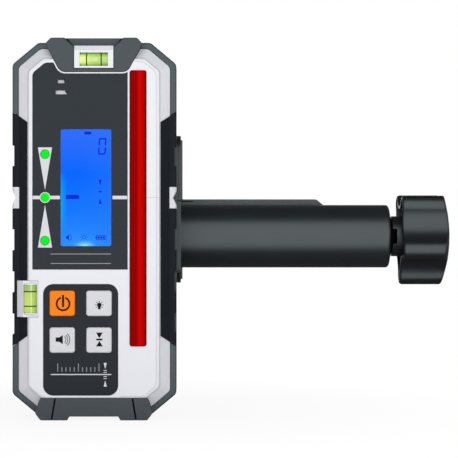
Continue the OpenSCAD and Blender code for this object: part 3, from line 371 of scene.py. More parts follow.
MATERIALS = {
    # White moulding: painted shade in its inner corners, and its edges come out darker than its faces.
    "white": moulded("white_moulding", (0.80, 0.81, 0.845), 0.5, grain=0.25, depth=0.004, mottle=0.015,
        wear=0.8, edge_tone=0.0, painted_corner_shade=4.0),
    "mark": moulded("mark_moulding", (0.69, 0.70, 0.72), 0.55, grain=0.25, depth=0.004, mottle=0.015,
        wear=0.2),
    "shell": moulded("grey_moulding", (0.035, 0.045, 0.052), 0.55, gloss=0.57, sheen=COOL_SHEEN),
    "bumper": moulded("bumper_rubber", (0.032, 0.038, 0.043), 0.62, grain=0.35, depth=0.016, gloss=0.58,
        sheen=COOL_SHEEN),
    "grip": moulded("grip_rubber", (0.012, 0.0138, 0.0176), 0.65, grain=0.4, depth=0.02, mottle=0.1,
        wear=0.12, gloss=0.06, sheen=COOL_SHEEN),
    "pad": moulded("pad_rubber", (0.022, 0.026, 0.029), 0.45, grain=0.4, depth=0.02, gloss=0.6,
        sheen=COOL_SHEEN),
    "nylon": moulded("arm_nylon", (0.010, 0.0125, 0.0145), 0.36, grain=0.35, depth=0.02, mottle=0.1,
        wear=0.2, gloss=0.59, sheen=COOL_SHEEN),
    "knob": moulded("knob_moulding", (0.005, 0.006, 0.0078), 0.42, grain=0.6, depth=0.006, mottle=0.1,
        wear=0.12, gloss=0.62, sheen=COOL_SHEEN),
    # Matt black painted shade: the thrust washer, the sleeve in the hub's notch and the lines in the grooves.
    "sleeve": moulded("painted_shade_black", (0.003, 0.003, 0.0035), 0.9, depth=0.02, mottle=0.1, wear=0.0,
        gloss=0.02),
    "orange": moulded("key_orange", (0.98, 0.235, 0.004), 0.6, depth=0.006, mottle=0.02, wear=0.15,
        gloss=0.15),
    "key": moulded("key_grey", (0.66, 0.67, 0.695), 0.6, depth=0.006, mottle=0.03, wear=0.2),
    "component": moulded("component_black", (0.02, 0.02, 0.022), 0.5),
    "face": printed_film("face_film", (0.0112, 0.0166, 0.0222), gloss=0.2),
    "keypad": printed_film("keypad_film", (0.007, 0.010, 0.014), gloss=0.17),
    "pale_print": printed_film("pale_print", (0.66, 0.67, 0.70)),
    "dim_print": printed_film("dim_print", (0.30, 0.31, 0.33)),
    # Faint grey: the printed zero line, and a painted shade line at the face's crease.
    "faint_print_and_shade": printed_film("faint_print_and_shade", (0.60, 0.61, 0.63)),
    "icon": printed_film("icon_black", (0.006, 0.006, 0.008), gloss=0.06),
    "warm_icon": printed_film("icon_brown", (0.030, 0.008, 0.003), gloss=0.04),
    "vial_ring": printed_film("vial_ring", (0.01, 0.03, 0.004), 0.4),
    "steel": turned_metal("plated_steel", (0.6, 0.6, 0.61), 0.32, "X"),
    "brass": turned_metal("turned_brass", (0.72, 0.53, 0.22), 0.3, "Y"),
    "board": board_mask(),
    "cell": cell_sleeve(),
    "display": lit_display(),
    "ink": display_ink(),
    "filter": red_filter(),
    "lamp": lamp_green(),
}


# Meshes
WELD = 0.002 * MM
FLAT = radians(0.5)
SHARP = radians(30)
EDGE_SEGMENTS = 2
RIM_SEGMENTS = 3
RIM_R = 0.55
PRINT_T = 0.02
INK_SINK = 0.02


def linked(name, data):
    """A new object in the scene."""
    piece = bpy.data.objects.new(name, data)
    bpy.context.scene.collection.objects.link(piece)
    return piece


def new_piece(name, mesh, material, replaced=(), body="receiver"):
    """Turns a bmesh into a piece that rides on a body."""
    bmesh.ops.recalc_face_normals(mesh, faces=mesh.faces)
    data = bpy.data.meshes.new(name)
    mesh.to_mesh(data)
    mesh.free()
    data.shade_smooth()
    data.set_sharp_from_angle(angle=SHARP)
    data.materials.append(MATERIALS.get(material, material))
    piece = linked(name, data)
    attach(piece, body)
    if replaced:
        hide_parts(*replaced)
    return piece


def round_off(mesh, width, segments, depth=None):
    """Rounds the sharp edges, or only those in front of a depth."""
    edges = [e for e in mesh.edges if e.is_manifold and e.calc_face_angle() > SHARP]
    if depth is not None:
        limit = FACE_Y + depth * MM
        edges = [e for e in edges if max(v.co.y for v in e.verts) < limit]
    bmesh.ops.bevel(mesh, geom=edges, offset=width * MM, offset_type="OFFSET", segments=segments, profile=0.5,
                    affect="EDGES", clamp_overlap=True)


def softened(node, body, material, width, rim_depth=None):
    """A copy of a node with its sharp edges rounded, or only those of its front rim."""
    mesh = bmesh.new()
    mesh.from_mesh(frame["nodes"][node].data)
    bmesh.ops.remove_doubles(mesh, verts=mesh.verts, dist=WELD)
    bmesh.ops.dissolve_limit(mesh, angle_limit=FLAT, verts=mesh.verts, edges=mesh.edges)
    round_off(mesh, width, EDGE_SEGMENTS if rim_depth is None else RIM_SEGMENTS, rim_depth)
    piece = new_piece(node + "_finish", mesh, material, [node], body)
    normals = piece.modifiers.new("even_normals", "WEIGHTED_NORMAL")
    normals.keep_sharp = True


def add_loft(mesh, rings, closed_ends=True):
    """Joins rings of equal length with quads, and closes both ends."""
    rows = [[mesh.verts.new(p) for p in ring] for ring in rings]
    for row, after in zip(rows, rows[1:]):
        for i in range(len(row)):
            j = (i + 1) % len(row)
            mesh.faces.new((row[i], row[j], after[j], after[i]))
    if closed_ends:
        mesh.faces.new(list(reversed(rows[0])))
        mesh.faces.new(rows[-1])


def lofted(name, lofts, material, replaced=(), body="receiver", closed_ends=True):
    """A piece of one or more lofts."""
    mesh = bmesh.new()
    for rings in lofts:
        add_loft(mesh, rings, closed_ends)
    new_piece(name, mesh, material, replaced, body)


def prism(outline, front, back):
    """A flat outline on the housing's face at two depths, to be joined."""
    return [[at(x, z, depth) for x, z in outline] for depth in (front, back)]


def all_round(count, shift=0.0):
    """Directions evenly round a circle."""
    return [2 * pi * (k + shift) / count for k in range(count)]


def arc(x, z, r, start, end, steps=24):
    turns = [radians(start + (end - start) * i / steps) for i in range(steps + 1)]
    return [(x + r * cos(t), z + r * sin(t)) for t in turns]


def disc(x, z, r, steps=32):
    return arc(x, z, r, 0, 360 - 360 / steps, steps - 1)


def bow(x, z, outer, inner, start, end, steps=24):
    """Part of a ring."""
    return arc(x, z, outer, start, end, steps) + arc(x, z, inner, end, start, steps)


def ring(x, z, outer, inner):
    return [bow(x, z, outer, inner, 0, 180), bow(x, z, outer, inner, 180, 360)]


def bar(left, right, low, high):
    return [(left, low), (right, low), (right, high), (left, high)]


def pointer(x, base, tip, half):
    """A triangle that points up or down."""
    return [(x - half, base), (x + half, base), (x, tip)]


def spokes(x, z, turns, inner, outer, half):
    """Short strokes that point away from a middle."""
    outlines = []
    for turn in turns:
        c, s = cos(radians(turn)), sin(radians(turn))
        outlines.append([(x + a * c - b * s, z + a * s + b * c) for a, b in bar(inner, outer, -half, half)])
    return outlines


def print_on(name, outlines, material, depth=0.0, body="receiver"):
    """Ink on a flat face at that depth."""
    lofts = [prism(outline, depth - PRINT_T, depth + INK_SINK) for outline in outlines]
    lofted(name, lofts, material, body=body)


# Housing, rubber and clamp
# Slot, material, depth of the rounded rim, nodes
RIMS = (
    ("grey_plastic", "shell", 9.0, "rear_shell"),
    ("bumper_rubber", "bumper", 1.0, "top_bumper", "bottom_bumper"),
)
# Body, slot, material, size of the rounded edges, nodes
EDGES = (
    ("receiver", "white_plastic", "white", 0.25, "front_shell"),
    ("receiver", "grip_rubber", "grip", 0.3, "left_grip", "right_grip"),
    ("receiver", "white_plastic", "mark", 0.2, "left_mark", "right_mark"),
    ("receiver", "panel_print", "face", 0.08, "display_panel"),
    ("receiver", "panel_print", "keypad", 0.08, "keypad_panel"),
    ("receiver", "display_blue", "display", 0.08, "display_window"),
    ("receiver", "filter_red", "filter", 0.2, "sensor_window"),
    ("receiver", "white_plastic", "white", 0.2, "top_vial_holder", "side_vial_holder"),
    ("power", "key_orange", "orange", 0.25, "power_key"),
    ("light", "key_grey", "key", 0.25, "light_key"),
    ("sound", "key_grey", "key", 0.25, "sound_key"),
    ("precision", "key_grey", "key", 0.25, "precision_key"),
    ("door", "grey_plastic", "shell", 0.25, "battery_door"),
    ("receiver", "grey_plastic", "shell", 0.2, "battery_tray"),
    ("receiver", "arm_nylon", "nylon", 0.35, "clamp_arm"),
    ("receiver", "arm_nylon", "nylon", 0.2, "end_bush"),
    ("receiver", "grip_rubber", "pad", 0.12, "fixed_jaw_pad"),
    ("jaw", "arm_nylon", "nylon", 0.35, "moving_jaw"),
    ("jaw", "grip_rubber", "pad", 0.25, "moving_jaw_pad"),
    ("knob", "knob_black", "face", 0.25, "knob_cap"),
    ("mount_screw", "knob_black", "knob", 0.35, "mount_screw"),
)
# Material, nodes
INSIDE = (
    ("white", "backlight"),
    ("grip", "housing_seal"),
    ("display", "lcd_module"),
    ("board", "main_board", "sensor_board"),
    ("component", "key_switches", "photodiodes", "buzzer"),
    ("cell", "battery_cells"),
    ("steel", "board_screws", "battery_contacts", "door_pin", "knob_screw"),
    # The thrust washer is painted shade black.
    ("sleeve", "thrust_washer"),
    ("brass", "thread_insert", "inner_bush"),
)


def dress_solids():
    """Rounded copies of the moulded nodes."""
    for slot, material, rim_depth, *nodes in RIMS:
        for node in nodes:
            softened(node, "receiver", material, RIM_R, rim_depth)
    for body, slot, material, width, *nodes in EDGES:
        for node in nodes:
            softened(node, body, material, width)


def dress_inside():
    """Finishes for the nodes that keep their own shape."""
    for material, *nodes in INSIDE:
        for node in nodes:
            data = frame["nodes"][node].data
            data.materials.clear()
            data.materials.append(MATERIALS[material])


# Star knob
KNOB_LOW, KNOB_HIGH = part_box("knob")
AXIS = Vector(next(j for j in frame["joints"] if j["name"] == "knob_turn")["pos_m"])
KNOB_R = 23.3
LOBE_R = 4.6
LOBES = 5
LOBE_STEPS = 26
VALLEY_STEPS = 18
VALLEY_SHARE = 0.645
STAR_TURN = radians(-88.7)
KNOB_L = 19.9
KNOB_DOME = 4.0
KNOB_FALL = 3.9
KNOB_WALL = 2.2
KNOB_WEB = 6.0
END_EDGE = 0.8
END_STEPS = 5
MOUTH_EDGE = 1.4
INNER_EDGE = 0.7
WEB_EDGE = 1.0
HUB_R = 9.7
HUB_ROOT = 0.8
HUB_EDGE = 0.3
NOTCH_W = 7.3
NOTCH_L = 2.2
SPINDLE_HOLE_R = 5.06
SLEEVE_R = 6.6
SLEEVE_LAP = 0.05
CAP_R = 7.0
CAP_HOLE_R = 7.1
CAP_T = 1.4
SEAT_R = 4.0
SEAT_GAP = 0.1
SEAT_EDGE = 0.3
HUB_X = KNOB_LOW.x / MM
KNOB_END = KNOB_HIGH.x / MM - KNOB_DOME
KNOB_X = KNOB_END - KNOB_L
WEB_X = KNOB_END - KNOB_WEB
LOBE_HALF = pi / LOBES
ROUNDING_STEPS = 6
QUARTER = [pi / 2 * k / ROUNDING_STEPS for k in range(ROUNDING_STEPS + 1)]
ROUNDING = [(1 - sin(t), 1 - cos(t)) for t in QUARTER]


def on_axis(x, y, z):
    return Vector((x * MM, AXIS.y + y * MM, AXIS.z + z * MM))


def axis_row(x, outline):
    """An outline laid square to the knob's axis."""
    return [on_axis(x, y, z) for y, z in outline]


def star(inset):
    """Outline of the lobes and valleys, drawn in by an inset."""
    reach = KNOB_R - LOBE_R
    floor = KNOB_R * VALLEY_SHARE
    cosine = cos(LOBE_HALF)
    valley_r = (floor ** 2 + reach ** 2 - LOBE_R ** 2 - 2 * reach * floor * cosine) / (
        2 * (LOBE_R + reach * cosine - floor))
    valley = floor + valley_r
    half_turn = degrees(atan2(valley * sin(LOBE_HALF), valley * cosine - reach))
    points = []
    for i in range(LOBES):
        a = STAR_TURN + 2 * i * LOBE_HALF
        v = a + LOBE_HALF
        start, end = degrees(a) - half_turn, degrees(a) + half_turn
        points += arc(reach * cos(a), reach * sin(a), LOBE_R - inset, start, end, LOBE_STEPS)
        start, end = end + 180, start + 180 + 360 / LOBES
        points += arc(valley * cos(v), valley * sin(v), valley_r + inset, start, end, VALLEY_STEPS)[1:-1]
    return points


def round_as_star(r):
    """A circle with one point for each point of the star."""
    return [(r * y / hypot(y, z), r * z / hypot(y, z)) for y, z in star(0.0)]


def dome_at(r):
    """Height of the knob's domed end at a distance from its axis."""
    return KNOB_DOME - KNOB_FALL * (r / KNOB_R) ** 2


def domed(outline, drop=0.0):
    """An outline on the knob's domed end, or a little under it."""
    return [on_axis(KNOB_END + dome_at(hypot(y, z)) - drop, y, z) for y, z in outline]


def between(first, second, share):
    """An outline between two others."""
    return [(a + (c - a) * share, b + (d - b) * share) for (a, b), (c, d) in zip(first, second)]


def hub_tooth(start, outer):
    """One half of the notched end of the hub."""
    out_turn = degrees(asin(NOTCH_W / 2 / HUB_R))
    in_turn = degrees(asin(NOTCH_W / 2 / SLEEVE_R))
    return (arc(0, 0, outer, start + out_turn, start + 180 - out_turn, steps=28)
            + arc(0, 0, SLEEVE_R - SLEEVE_LAP, start + 180 - in_turn, start + in_turn, steps=24))


def knob_end_rows():
    """The cover's sunk seat, the domed end and its rounded rim."""
    seat = KNOB_END + dome_at(CAP_R) - CAP_T - SEAT_GAP
    hole = round_as_star(CAP_HOLE_R)
    mouth = round_as_star(CAP_HOLE_R + SEAT_EDGE)
    rows = [axis_row(seat, round_as_star(SEAT_R)), axis_row(seat, hole), domed(hole, SEAT_EDGE)]
    rows += [domed(between(mouth, star(END_EDGE), k / END_STEPS)) for k in range(END_STEPS)]
    return rows + [domed(star(END_EDGE * s), END_EDGE * c) for s, c in ROUNDING]


def knob_mouth_rows():
    """The rounded rim of the open end, outside and inside."""
    outside = [axis_row(KNOB_X + MOUTH_EDGE * s, star(MOUTH_EDGE * c)) for s, c in ROUNDING]
    inside = [axis_row(KNOB_X + INNER_EDGE * c, star(KNOB_WALL - INNER_EDGE * s)) for s, c in ROUNDING]
    return outside + inside


def knob_hollow_rows():
    """The hollow down to the web, the hub and the spindle's hole."""
    notch = HUB_X + NOTCH_L
    hole = round_as_star(SPINDLE_HOLE_R)
    return [axis_row(x, outline) for x, outline in (
        (WEB_X - WEB_EDGE, star(KNOB_WALL)), (WEB_X, star(KNOB_WALL + WEB_EDGE)),
        (WEB_X, round_as_star(HUB_R + HUB_ROOT)), (WEB_X - HUB_ROOT, round_as_star(HUB_R)),
        (notch, round_as_star(HUB_R)), (notch, hole), (WEB_X, hole))]


def make_knob():
    """Star knob with hollow lobes, a notched hub and a sunk seat for its cover."""
    lofts = [knob_end_rows() + knob_mouth_rows() + knob_hollow_rows()]
    for start in (0, 180):
        full = hub_tooth(start, HUB_R)
        lofts.append([axis_row(HUB_X + NOTCH_L, full), axis_row(HUB_X + HUB_EDGE, full),
                      axis_row(HUB_X, hub_tooth(start, HUB_R - HUB_EDGE))])
    lofted("star_knob", lofts, "knob", ["knob"], "knob")


def make_hub_shade():
    """Matt black sleeve inside the hub's notched end, as painted shade."""
    ends = ((HUB_X, SPINDLE_HOLE_R), (HUB_X, SLEEVE_R), (HUB_X + NOTCH_L, SLEEVE_R))
    rows = [axis_row(x, round_as_star(r)) for x, r in ends]
    lofted("hub_shade", [rows], "sleeve", body="knob", closed_ends=False)


# Spindle and case screws
CREST_R = 5.0
ROOT_R = 4.45
AROUND = 48


def round_row(x, r):
    """A circle square to the knob's axis."""
    return axis_row(x, disc(0, 0, r, AROUND))


def thread_row(x, fade):
    """A cut through the thread, which is as high as its fade says."""
    starts, lead, flank_top, flank_slope = 2, 5.0, 1.9, 5.0
    points = []
    for k, turn in enumerate(all_round(AROUND)):
        phase = (starts * (x / lead + k / AROUND)) % 1.0
        rise = min(1.0, max(0.0, flank_top - abs(phase - 0.5) * flank_slope))
        r = ROOT_R + (CREST_R - ROOT_R) * rise * fade
        points.append(on_axis(x, r * cos(turn), r * sin(turn)))
    return points


def make_spindle():
    """Spindle with a left-hand two-start thread, a journal and a shoulder."""
    journal_r, journal_edge, shoulder_r, shoulder_reach = 3.0, 0.3, 6.0, 3.0
    run_gap, thread_gap, thread_step, fade_l, tip_edge = 0.3, 0.4, 0.3125, 2.0, 0.4
    low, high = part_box("spindle")
    start, end = low.x / MM, high.x / MM
    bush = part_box("end_bush")[0].x / MM
    shoulder_from, shoulder_to = bush - shoulder_reach, bush - run_gap
    thread_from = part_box("inner_bush")[1].x / MM + run_gap
    thread_to = shoulder_from - thread_gap
    rows = [round_row(start, journal_r - journal_edge), round_row(start + journal_edge, journal_r),
            round_row(thread_from, journal_r)]
    count = int((thread_to - thread_from) / thread_step)
    for i in range(count + 1):
        x = thread_from + (thread_to - thread_from) * i / count
        fade = min(1.0, (x - thread_from) / fade_l, (thread_to - x) / fade_l)
        rows.append(thread_row(x, max(0.0, fade)))
    rows += [round_row(x, r) for x, r in (
        (shoulder_from, ROOT_R), (shoulder_from, shoulder_r), (shoulder_to, shoulder_r),
        (shoulder_to, CREST_R), (end - tip_edge, CREST_R), (end, CREST_R - tip_edge))]
    lofted("threaded_spindle", [rows], "steel", ["spindle"], "knob")


def cross_reach(turn):
    """Reach of a cross recess in one direction."""
    arm, slit, least = 1.45, 0.42, 1e-6
    return min(slit / max(min(abs(cos(turn)), abs(sin(turn))), least), arm)


def screw_row(x, y, z, r, cross):
    """A circle round a screw's axis, or a share of the recess's outline."""
    points = []
    for turn in all_round(AROUND, 0.5):
        reach = (r + cross * cross_reach(turn)) * MM
        points.append(Vector((x + reach * cos(turn), y, z + reach * sin(turn))))
    return points


def make_case_screws():
    """Four case screws with domed heads and a cross recess."""
    head_r, head_t, shank_r, tip_in, tip_l, cross_sink, cross_floor = 2.6, 2.0, 1.5, 0.4, 0.5, 0.9, 0.8
    dome = ((0.6, 0.0), (0.2, 0.3), (0.0, 0.8))
    low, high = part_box("case_screws")
    edge, top = head_r * MM, high.y
    under = top - head_t * MM
    profile = [(low.y, shank_r - tip_in, 0.0), (low.y + tip_l * MM, shank_r, 0.0), (under, shank_r, 0.0),
               (under, head_r, 0.0)]
    profile += [(top - down * MM, head_r - inwards, 0.0) for down, inwards in dome]
    profile += [(top, 0.0, 1.0), (top - cross_sink * MM, 0.0, cross_floor)]
    lofts = [[screw_row(x, y, z, r, cross) for y, r, cross in profile]
             for x in (low.x + edge, high.x - edge) for z in (low.z + edge, high.z - edge)]
    lofted("cross_screws", lofts, "steel", ["case_screws"])


# Level vials
VIAL_R = 3.0
VIAL_L = 14.4
VIAL_EDGE = 0.3
VIAL_AROUND = 40
PLUG_L = 0.75


class Tube:
    """A vial's name and node, and whether it lies level or stands."""

    def __init__(self, name, node, level):
        low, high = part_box(node)
        self.centre = (low + high) / 2
        self.name = name
        self.node = node
        self.level = level

    def place(self, along, across, back):
        """A place in millimetres from the middle."""
        if self.level:
            return self.centre + Vector((along, back, across)) * MM
        return self.centre + Vector((across, back, along)) * MM

    def row(self, along, r):
        return [self.place(along, a, b) for a, b in disc(0, 0, r, VIAL_AROUND)]


def vial_liquid(tube, stops, streak):
    """Tinted liquid with painted light along it, painted shade to its edges or right, a painted highlight
    line and glow.
    """
    shade_green_tone, lit_left_tone = (0.3, 0.52, 0.07), (0.75, 0.83, 0.26)
    highlight_tone, swirl_tone = (0.8, 0.97, 0.66), (0.75, 0.88, 0.3)
    edge_shade_share, right_from, right_gain, right_shade_share = 0.75, -0.45, 2.0, 0.62
    left_from, left_gain, left_share = -0.55, -2.5, 0.5
    highlight_top, highlight_fall, level_highlight, upright_highlight = 1.3, 13.0, 0.2, 0.7
    skin = new_skin(tube.name + "_liquid")
    low, high = tube.place(-VIAL_L / 2, 0.0, 0.0), tube.place(VIAL_L / 2, VIAL_R, 0.0)
    shares = axis_share(skin, "X", low.x, high.x), axis_share(skin, "Z", low.z, high.z)
    along, off = shares if tube.level else reversed(shares)
    # Painted light: the tone changes along the tube.
    tone = skin.make("ValToRGB", {"stops": stops}, {0: along})
    # Painted shade: darker green towards a level tube's top and bottom edges, or a standing tube's right
    # side; a standing tube is painted paler on its left.
    if tube.level:
        green = off * off * edge_shade_share
    else:
        green = ((off - right_from) * right_gain).clipped() * right_shade_share
        tone = (((off - left_from) * left_gain).clipped() * left_share).blend(tone, lit_left_tone)
    deep = green.blend(tone, shade_green_tone)
    # Painted highlight: a bright line along the tube at the streak's place.
    line = (highlight_top - abs(off - streak) * highlight_fall).clipped()
    lit = (line * (level_highlight if tube.level else upright_highlight)).blend(deep, highlight_tone)
    swirl = noise(skin, 2.0, 2.0)
    # A faint emission paints a glow on the liquid.
    return coat_skin(skin, {
        "Base Color": (swirl * 0.15).blend(lit, swirl_tone), "Roughness": 0.08 + 0.08 * swirl,
        "Emission Color": lit, "Emission Strength": 0.1, "Coat Weight": 0.25, "Coat Roughness": 0.04,
        "Specular IOR Level": 0.2})


def air_bubble(name, middle, rim):
    """Air in the liquid, its rim painted a darker shade where the surface turns to a side."""
    skin = new_skin(name)
    grain = noise(skin, 0.6, 1.0)
    # Painted shade: the rim tone replaces the middle tone where the surface turns to a side.
    return coat_skin(skin, {
        "Base Color": painted_side_shade(skin).blend(middle, rim), "Roughness": 0.1 + 0.05 * grain,
        "Specular IOR Level": 0.2})


def make_liquid(tube, stops, streak, plug=0.0):
    """A clear tube full of liquid, shorter where it has plugs."""
    half, quarters = VIAL_L / 2 - plug, 4
    rows = [tube.row(-half, VIAL_R - VIAL_EDGE), tube.row(VIAL_EDGE - half, VIAL_R)]
    rows += [tube.row(half * k / quarters, VIAL_R) for k in range(1 - quarters, quarters)]
    rows += [tube.row(half - VIAL_EDGE, VIAL_R), tube.row(half, VIAL_R - VIAL_EDGE)]
    lofted(tube.name, [rows], vial_liquid(tube, stops, streak), [tube.node])


def make_plugs(tube):
    """White plugs at both ends of a tube."""
    end, edge = VIAL_L / 2, 0.2
    profile = ((end - PLUG_L, VIAL_R), (end - edge, VIAL_R), (end, VIAL_R - edge))
    lofts = [[tube.row(side * along, r) for along, r in profile] for side in (-1, 1)]
    lofted(tube.name + "_plugs", lofts, "white")


def make_rings(tube):
    """Two ring marks round a tube."""
    sink, proud, marks = 0.05, 0.03, ((-3.35, 0.28), (3.4, 0.3))
    inner, outer = VIAL_R - sink, VIAL_R + proud
    profile = ((-1, inner), (-1, outer), (1, outer), (1, inner))
    lofts = [[tube.row(along + side * half, r) for side, r in profile] for along, half in marks]
    lofted(tube.name + "_rings", lofts, "vial_ring")


def make_bubble(tube, middle, rim):
    """A bubble that lies against the front of a level tube."""
    length, width, rise, up, thick, sink = 1.9, 1.35, 0.12, 0.1, 0.3, 0.01
    rows = []
    for share in (1.0, 0.97, 0.85, 0.6, 0.3):
        lift = rise * sqrt(1 - share ** 2)
        row = []
        for turn in all_round(VIAL_AROUND):
            across = width * share * sin(turn) + up
            front = sqrt(VIAL_R ** 2 - across ** 2) + lift - sink
            row.append(tube.place(length * share * cos(turn), across, -front))
        rows.append(row)
    base = [p + Vector((0, thick * MM, 0)) for p in rows[0]]
    lofted(tube.name + "_bubble", [[base] + rows], air_bubble(tube.name + "_air", middle, rim))


def make_top_vial():
    """Level vial in the top bumper, with its bubble."""
    # Painted light along the tube: paler at its left end, darker to its right.
    stops = [(0.0, (0.86, 0.92, 0.30)), (0.2, (0.68, 0.84, 0.22)), (0.5, (0.46, 0.68, 0.14)),
             (0.8, (0.40, 0.60, 0.12)), (1.0, (0.36, 0.54, 0.12))]
    tube = Tube("top_level_vial", "top_vial", True)
    make_liquid(tube, stops, streak=0.3)
    make_rings(tube)
    # The bubble's rim tone is painted shade.
    make_bubble(tube, middle=(0.60, 0.82, 0.30), rim=(0.42, 0.66, 0.14))


def make_side_vial():
    """Upright vial at the left side, with a plug at each end."""
    # Painted light and shade along the standing tube, darker towards its top.
    stops = [(0.0, (0.42, 0.64, 0.08)), (0.25, (0.58, 0.73, 0.12)), (0.5, (0.56, 0.72, 0.13)),
             (0.72, (0.46, 0.65, 0.11)), (0.8, (0.30, 0.50, 0.13)), (1.0, (0.26, 0.45, 0.09))]
    tube = Tube("side_level_vial", "side_vial", False)
    make_liquid(tube, stops, streak=0.18, plug=PLUG_L)
    make_plugs(tube)
    make_rings(tube)


# Lamps and prints on the face
def lamp_places():
    """The lamps' middle line, heights from the lowest, and radius."""
    left, right, bottom, top = local_box("position_lights")[:4]
    r = (right - left) / 2
    return (left + right) / 2, (bottom + r, (bottom + top) / 2, top - r), r


def make_lights():
    """Green lamp lenses with domed tips."""
    rise, power, steps = 0.35, 0.6, 7
    x, heights, r = lamp_places()
    front, back = local_box("position_lights")[4:]
    lofts = []
    for height in heights:
        rows = [[at(px, pz, back) for px, pz in disc(x, height, r)]]
        for k in range(steps):
            t = pi / 2 * k / steps
            depth = front + rise * (1 - sin(t))
            rows.append([at(px, pz, depth) for px, pz in disc(x, height, r * cos(t) ** power)])
        lofts.append(rows)
    lofted("lamp_lenses", lofts, "lamp", ["position_lights"])


def pointer_round(x, z, base, tip, half, hole):
    """A long pointer with a round hole for its lamp, as two halves."""
    up = 1 if tip > base else -1
    curve = arc(0, z, hole, 90 * up, -90 * up, steps=20)
    halves = []
    for side in (-1, 1):
        hollow = [(x + side * a, b) for a, b in curve]
        halves.append([(x, base), (x + side * half, base), (x, tip)] + hollow)
    return halves


def make_face_print():
    """Pale pointers, ring and zero bars on the dark face."""
    base, half, tip_gap, hole_gap = 3.15, 3.25, 3.45, 0.25
    ring_out, ring_in, bar_half, lamp_gap = 0.55, 0.12, 0.8, 0.5
    bars_left, bars_right, window_left, window_right = -28.2, 15.4, 0.35, 0.7
    x, (low, zero, high), r = lamp_places()
    left, right = local_box("display_window")[:2]
    outlines = pointer_round(x, high, high + base, zero + tip_gap, half, r + hole_gap)
    outlines += pointer_round(x, low, low - base, zero - tip_gap, half, r + hole_gap)
    outlines += ring(x, zero, r + ring_out, r + ring_in)
    outlines += [bar(start, end, zero - bar_half, zero + bar_half) for start, end in (
        (bars_left, x - r - lamp_gap), (x + r + lamp_gap, left - window_left),
        (right + window_right, bars_right))]
    print_on("face_print", outlines, "pale_print")


def make_face_rules():
    """Faint zero line on the white face, and two dim rules under the display."""
    line_half, rule_half = 0.15, 0.16
    zero = lamp_places()[1][1]
    line = bar(24.5, 30.2, zero - line_half, zero + line_half)
    print_on("zero_line", [line], "faint_print_and_shade", local_box("front_shell")[4])
    rules = [bar(-19.9, 7.95, z - rule_half, z + rule_half) for z in (-11.5, -15.87)]
    print_on("face_rules", rules, "dim_print")


def trail(points, width):
    """A line of even width through points, in legs."""
    sides = []
    for i, (x, z) in enumerate(points):
        before, after = points[max(i - 1, 0)], points[min(i + 1, len(points) - 1)]
        along = Vector((after[0] - before[0], after[1] - before[1])).normalized() * (width / 2)
        sides.append(((x - along.y, z + along.x), (x + along.y, z - along.x)))
    return [[a, b, d, c] for (a, b), (c, d) in zip(sides, sides[1:])]


def make_face_crease_shade():
    """Painted shade: a faint fine line along the crease inside the raised face's edge."""
    bend = [(21.6, 77.05), (23.4, 76.45), (27.75, 72.8), (28.75, 70.6)]
    points = [(18.7, 77.05), *bend, *((x, -z) for x, z in reversed(bend)), (12.0, -77.05)]
    print_on("face_crease_shade", trail(points, width=0.36), "faint_print_and_shade")


def make_index_line():
    """Dark index line on the jaw plate and at the start of the reading edge."""
    down, width, length, thick, sink, pad_proud, rib_front = 0.75, 0.5, 6.0, 0.35, 0.1, 0.8, -4.0
    plate_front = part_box("clamp_arm")[0].y / MM
    lofts = []
    for left, right, front in ((SHELL_HIGH.x / MM, -pad_proud, plate_front - PRINT_T),
                               (-pad_proud, length - pad_proud, rib_front + sink)):
        outline = bar(left, right, -down - width, -down)
        lofts.append([[Vector((x, y, z)) * MM for x, z in outline] for y in (front, front + thick)])
    lofted("index_filling", lofts, "icon")


# Prints on the keys and the keypad
KEY_FRONT = local_box("power_key")[4]


def make_power_symbol():
    """On and off: an open ring and a stroke."""
    x, z, half = -14.1, -34.4, 0.5
    power = [bow(x, z, 3.4, 2.5, 110, 430, 48), bar(x - half, x + half, z - 1.5, z + 4.1)]
    print_on("power_symbol", power, "warm_icon", KEY_FRONT, "power")


def make_lamp_symbol():
    """Lamp: a bulb and its rays."""
    x, z, bulb_r, neck_half = 2.55, -34.9, 1.05, 0.6
    lamp = [disc(x, z, bulb_r), bar(x - neck_half, x + neck_half, z - 2.0, z - 0.8)]
    lamp += spokes(x, z, (0, 45, 90, 135, 180, -38, 218), 1.3, 1.95, 0.17)
    print_on("lamp_symbol", lamp, "icon", KEY_FRONT, "light")


def make_sound_symbol():
    """Sound: a horn and three waves."""
    z, wave_x, half, turn = -50.85, -14.7, 0.16, 48
    horn = [(-17.5, z - 1.0), (-15.9, z - 1.0), (-14.2, z - 2.1), (-14.2, z + 2.1), (-15.9, z + 1.0),
            (-17.5, z + 1.0)]
    waves = [bow(wave_x, z, r + half, r - half, -turn, turn) for r in (1.9, 2.8, 3.7)]
    print_on("sound_symbol", [horn] + waves, "icon", KEY_FRONT, "sound")


def make_precision_symbol():
    """Fine or coarse: two pointers that meet a bar."""
    x, half, bar_half = 2.6, 1.55, 1.4
    fine = [pointer(x, -47.6, -50.2, half), bar(x - bar_half, x + bar_half, -51.2, -50.4),
            pointer(x, -54.0, -51.4, half)]
    print_on("precision_symbol", fine, "icon", KEY_FRONT, "precision")


def make_keypad_prints():
    """Rule, level marks and a dim scale on the keypad plate."""
    x, half, bar_half, bar_t = 5.25, 0.72, 0.75, 0.15
    ticks, left, step, tick_half, low, long_high, short_high = 11, -16.6, 1.9, 0.16, -65.6, -61.9, -63.6
    marks = [bar(-19.8, 8.0, -67.18, -66.72), pointer(x, -61.6, -64.4, half), pointer(x, -72.5, -69.7, half)]
    marks += [bar(x - bar_half, x + bar_half, z - bar_t, z + bar_t) for z in (-65.1, -66.02, -67.88, -68.8)]
    print_on("keypad_rule", marks, "pale_print")
    scale = []
    for i in range(ticks):
        middle = left + step * i
        scale.append(bar(middle - tick_half, middle + tick_half, low, short_high if i % 5 else long_high))
    print_on("keypad_scale", scale, "dim_print")


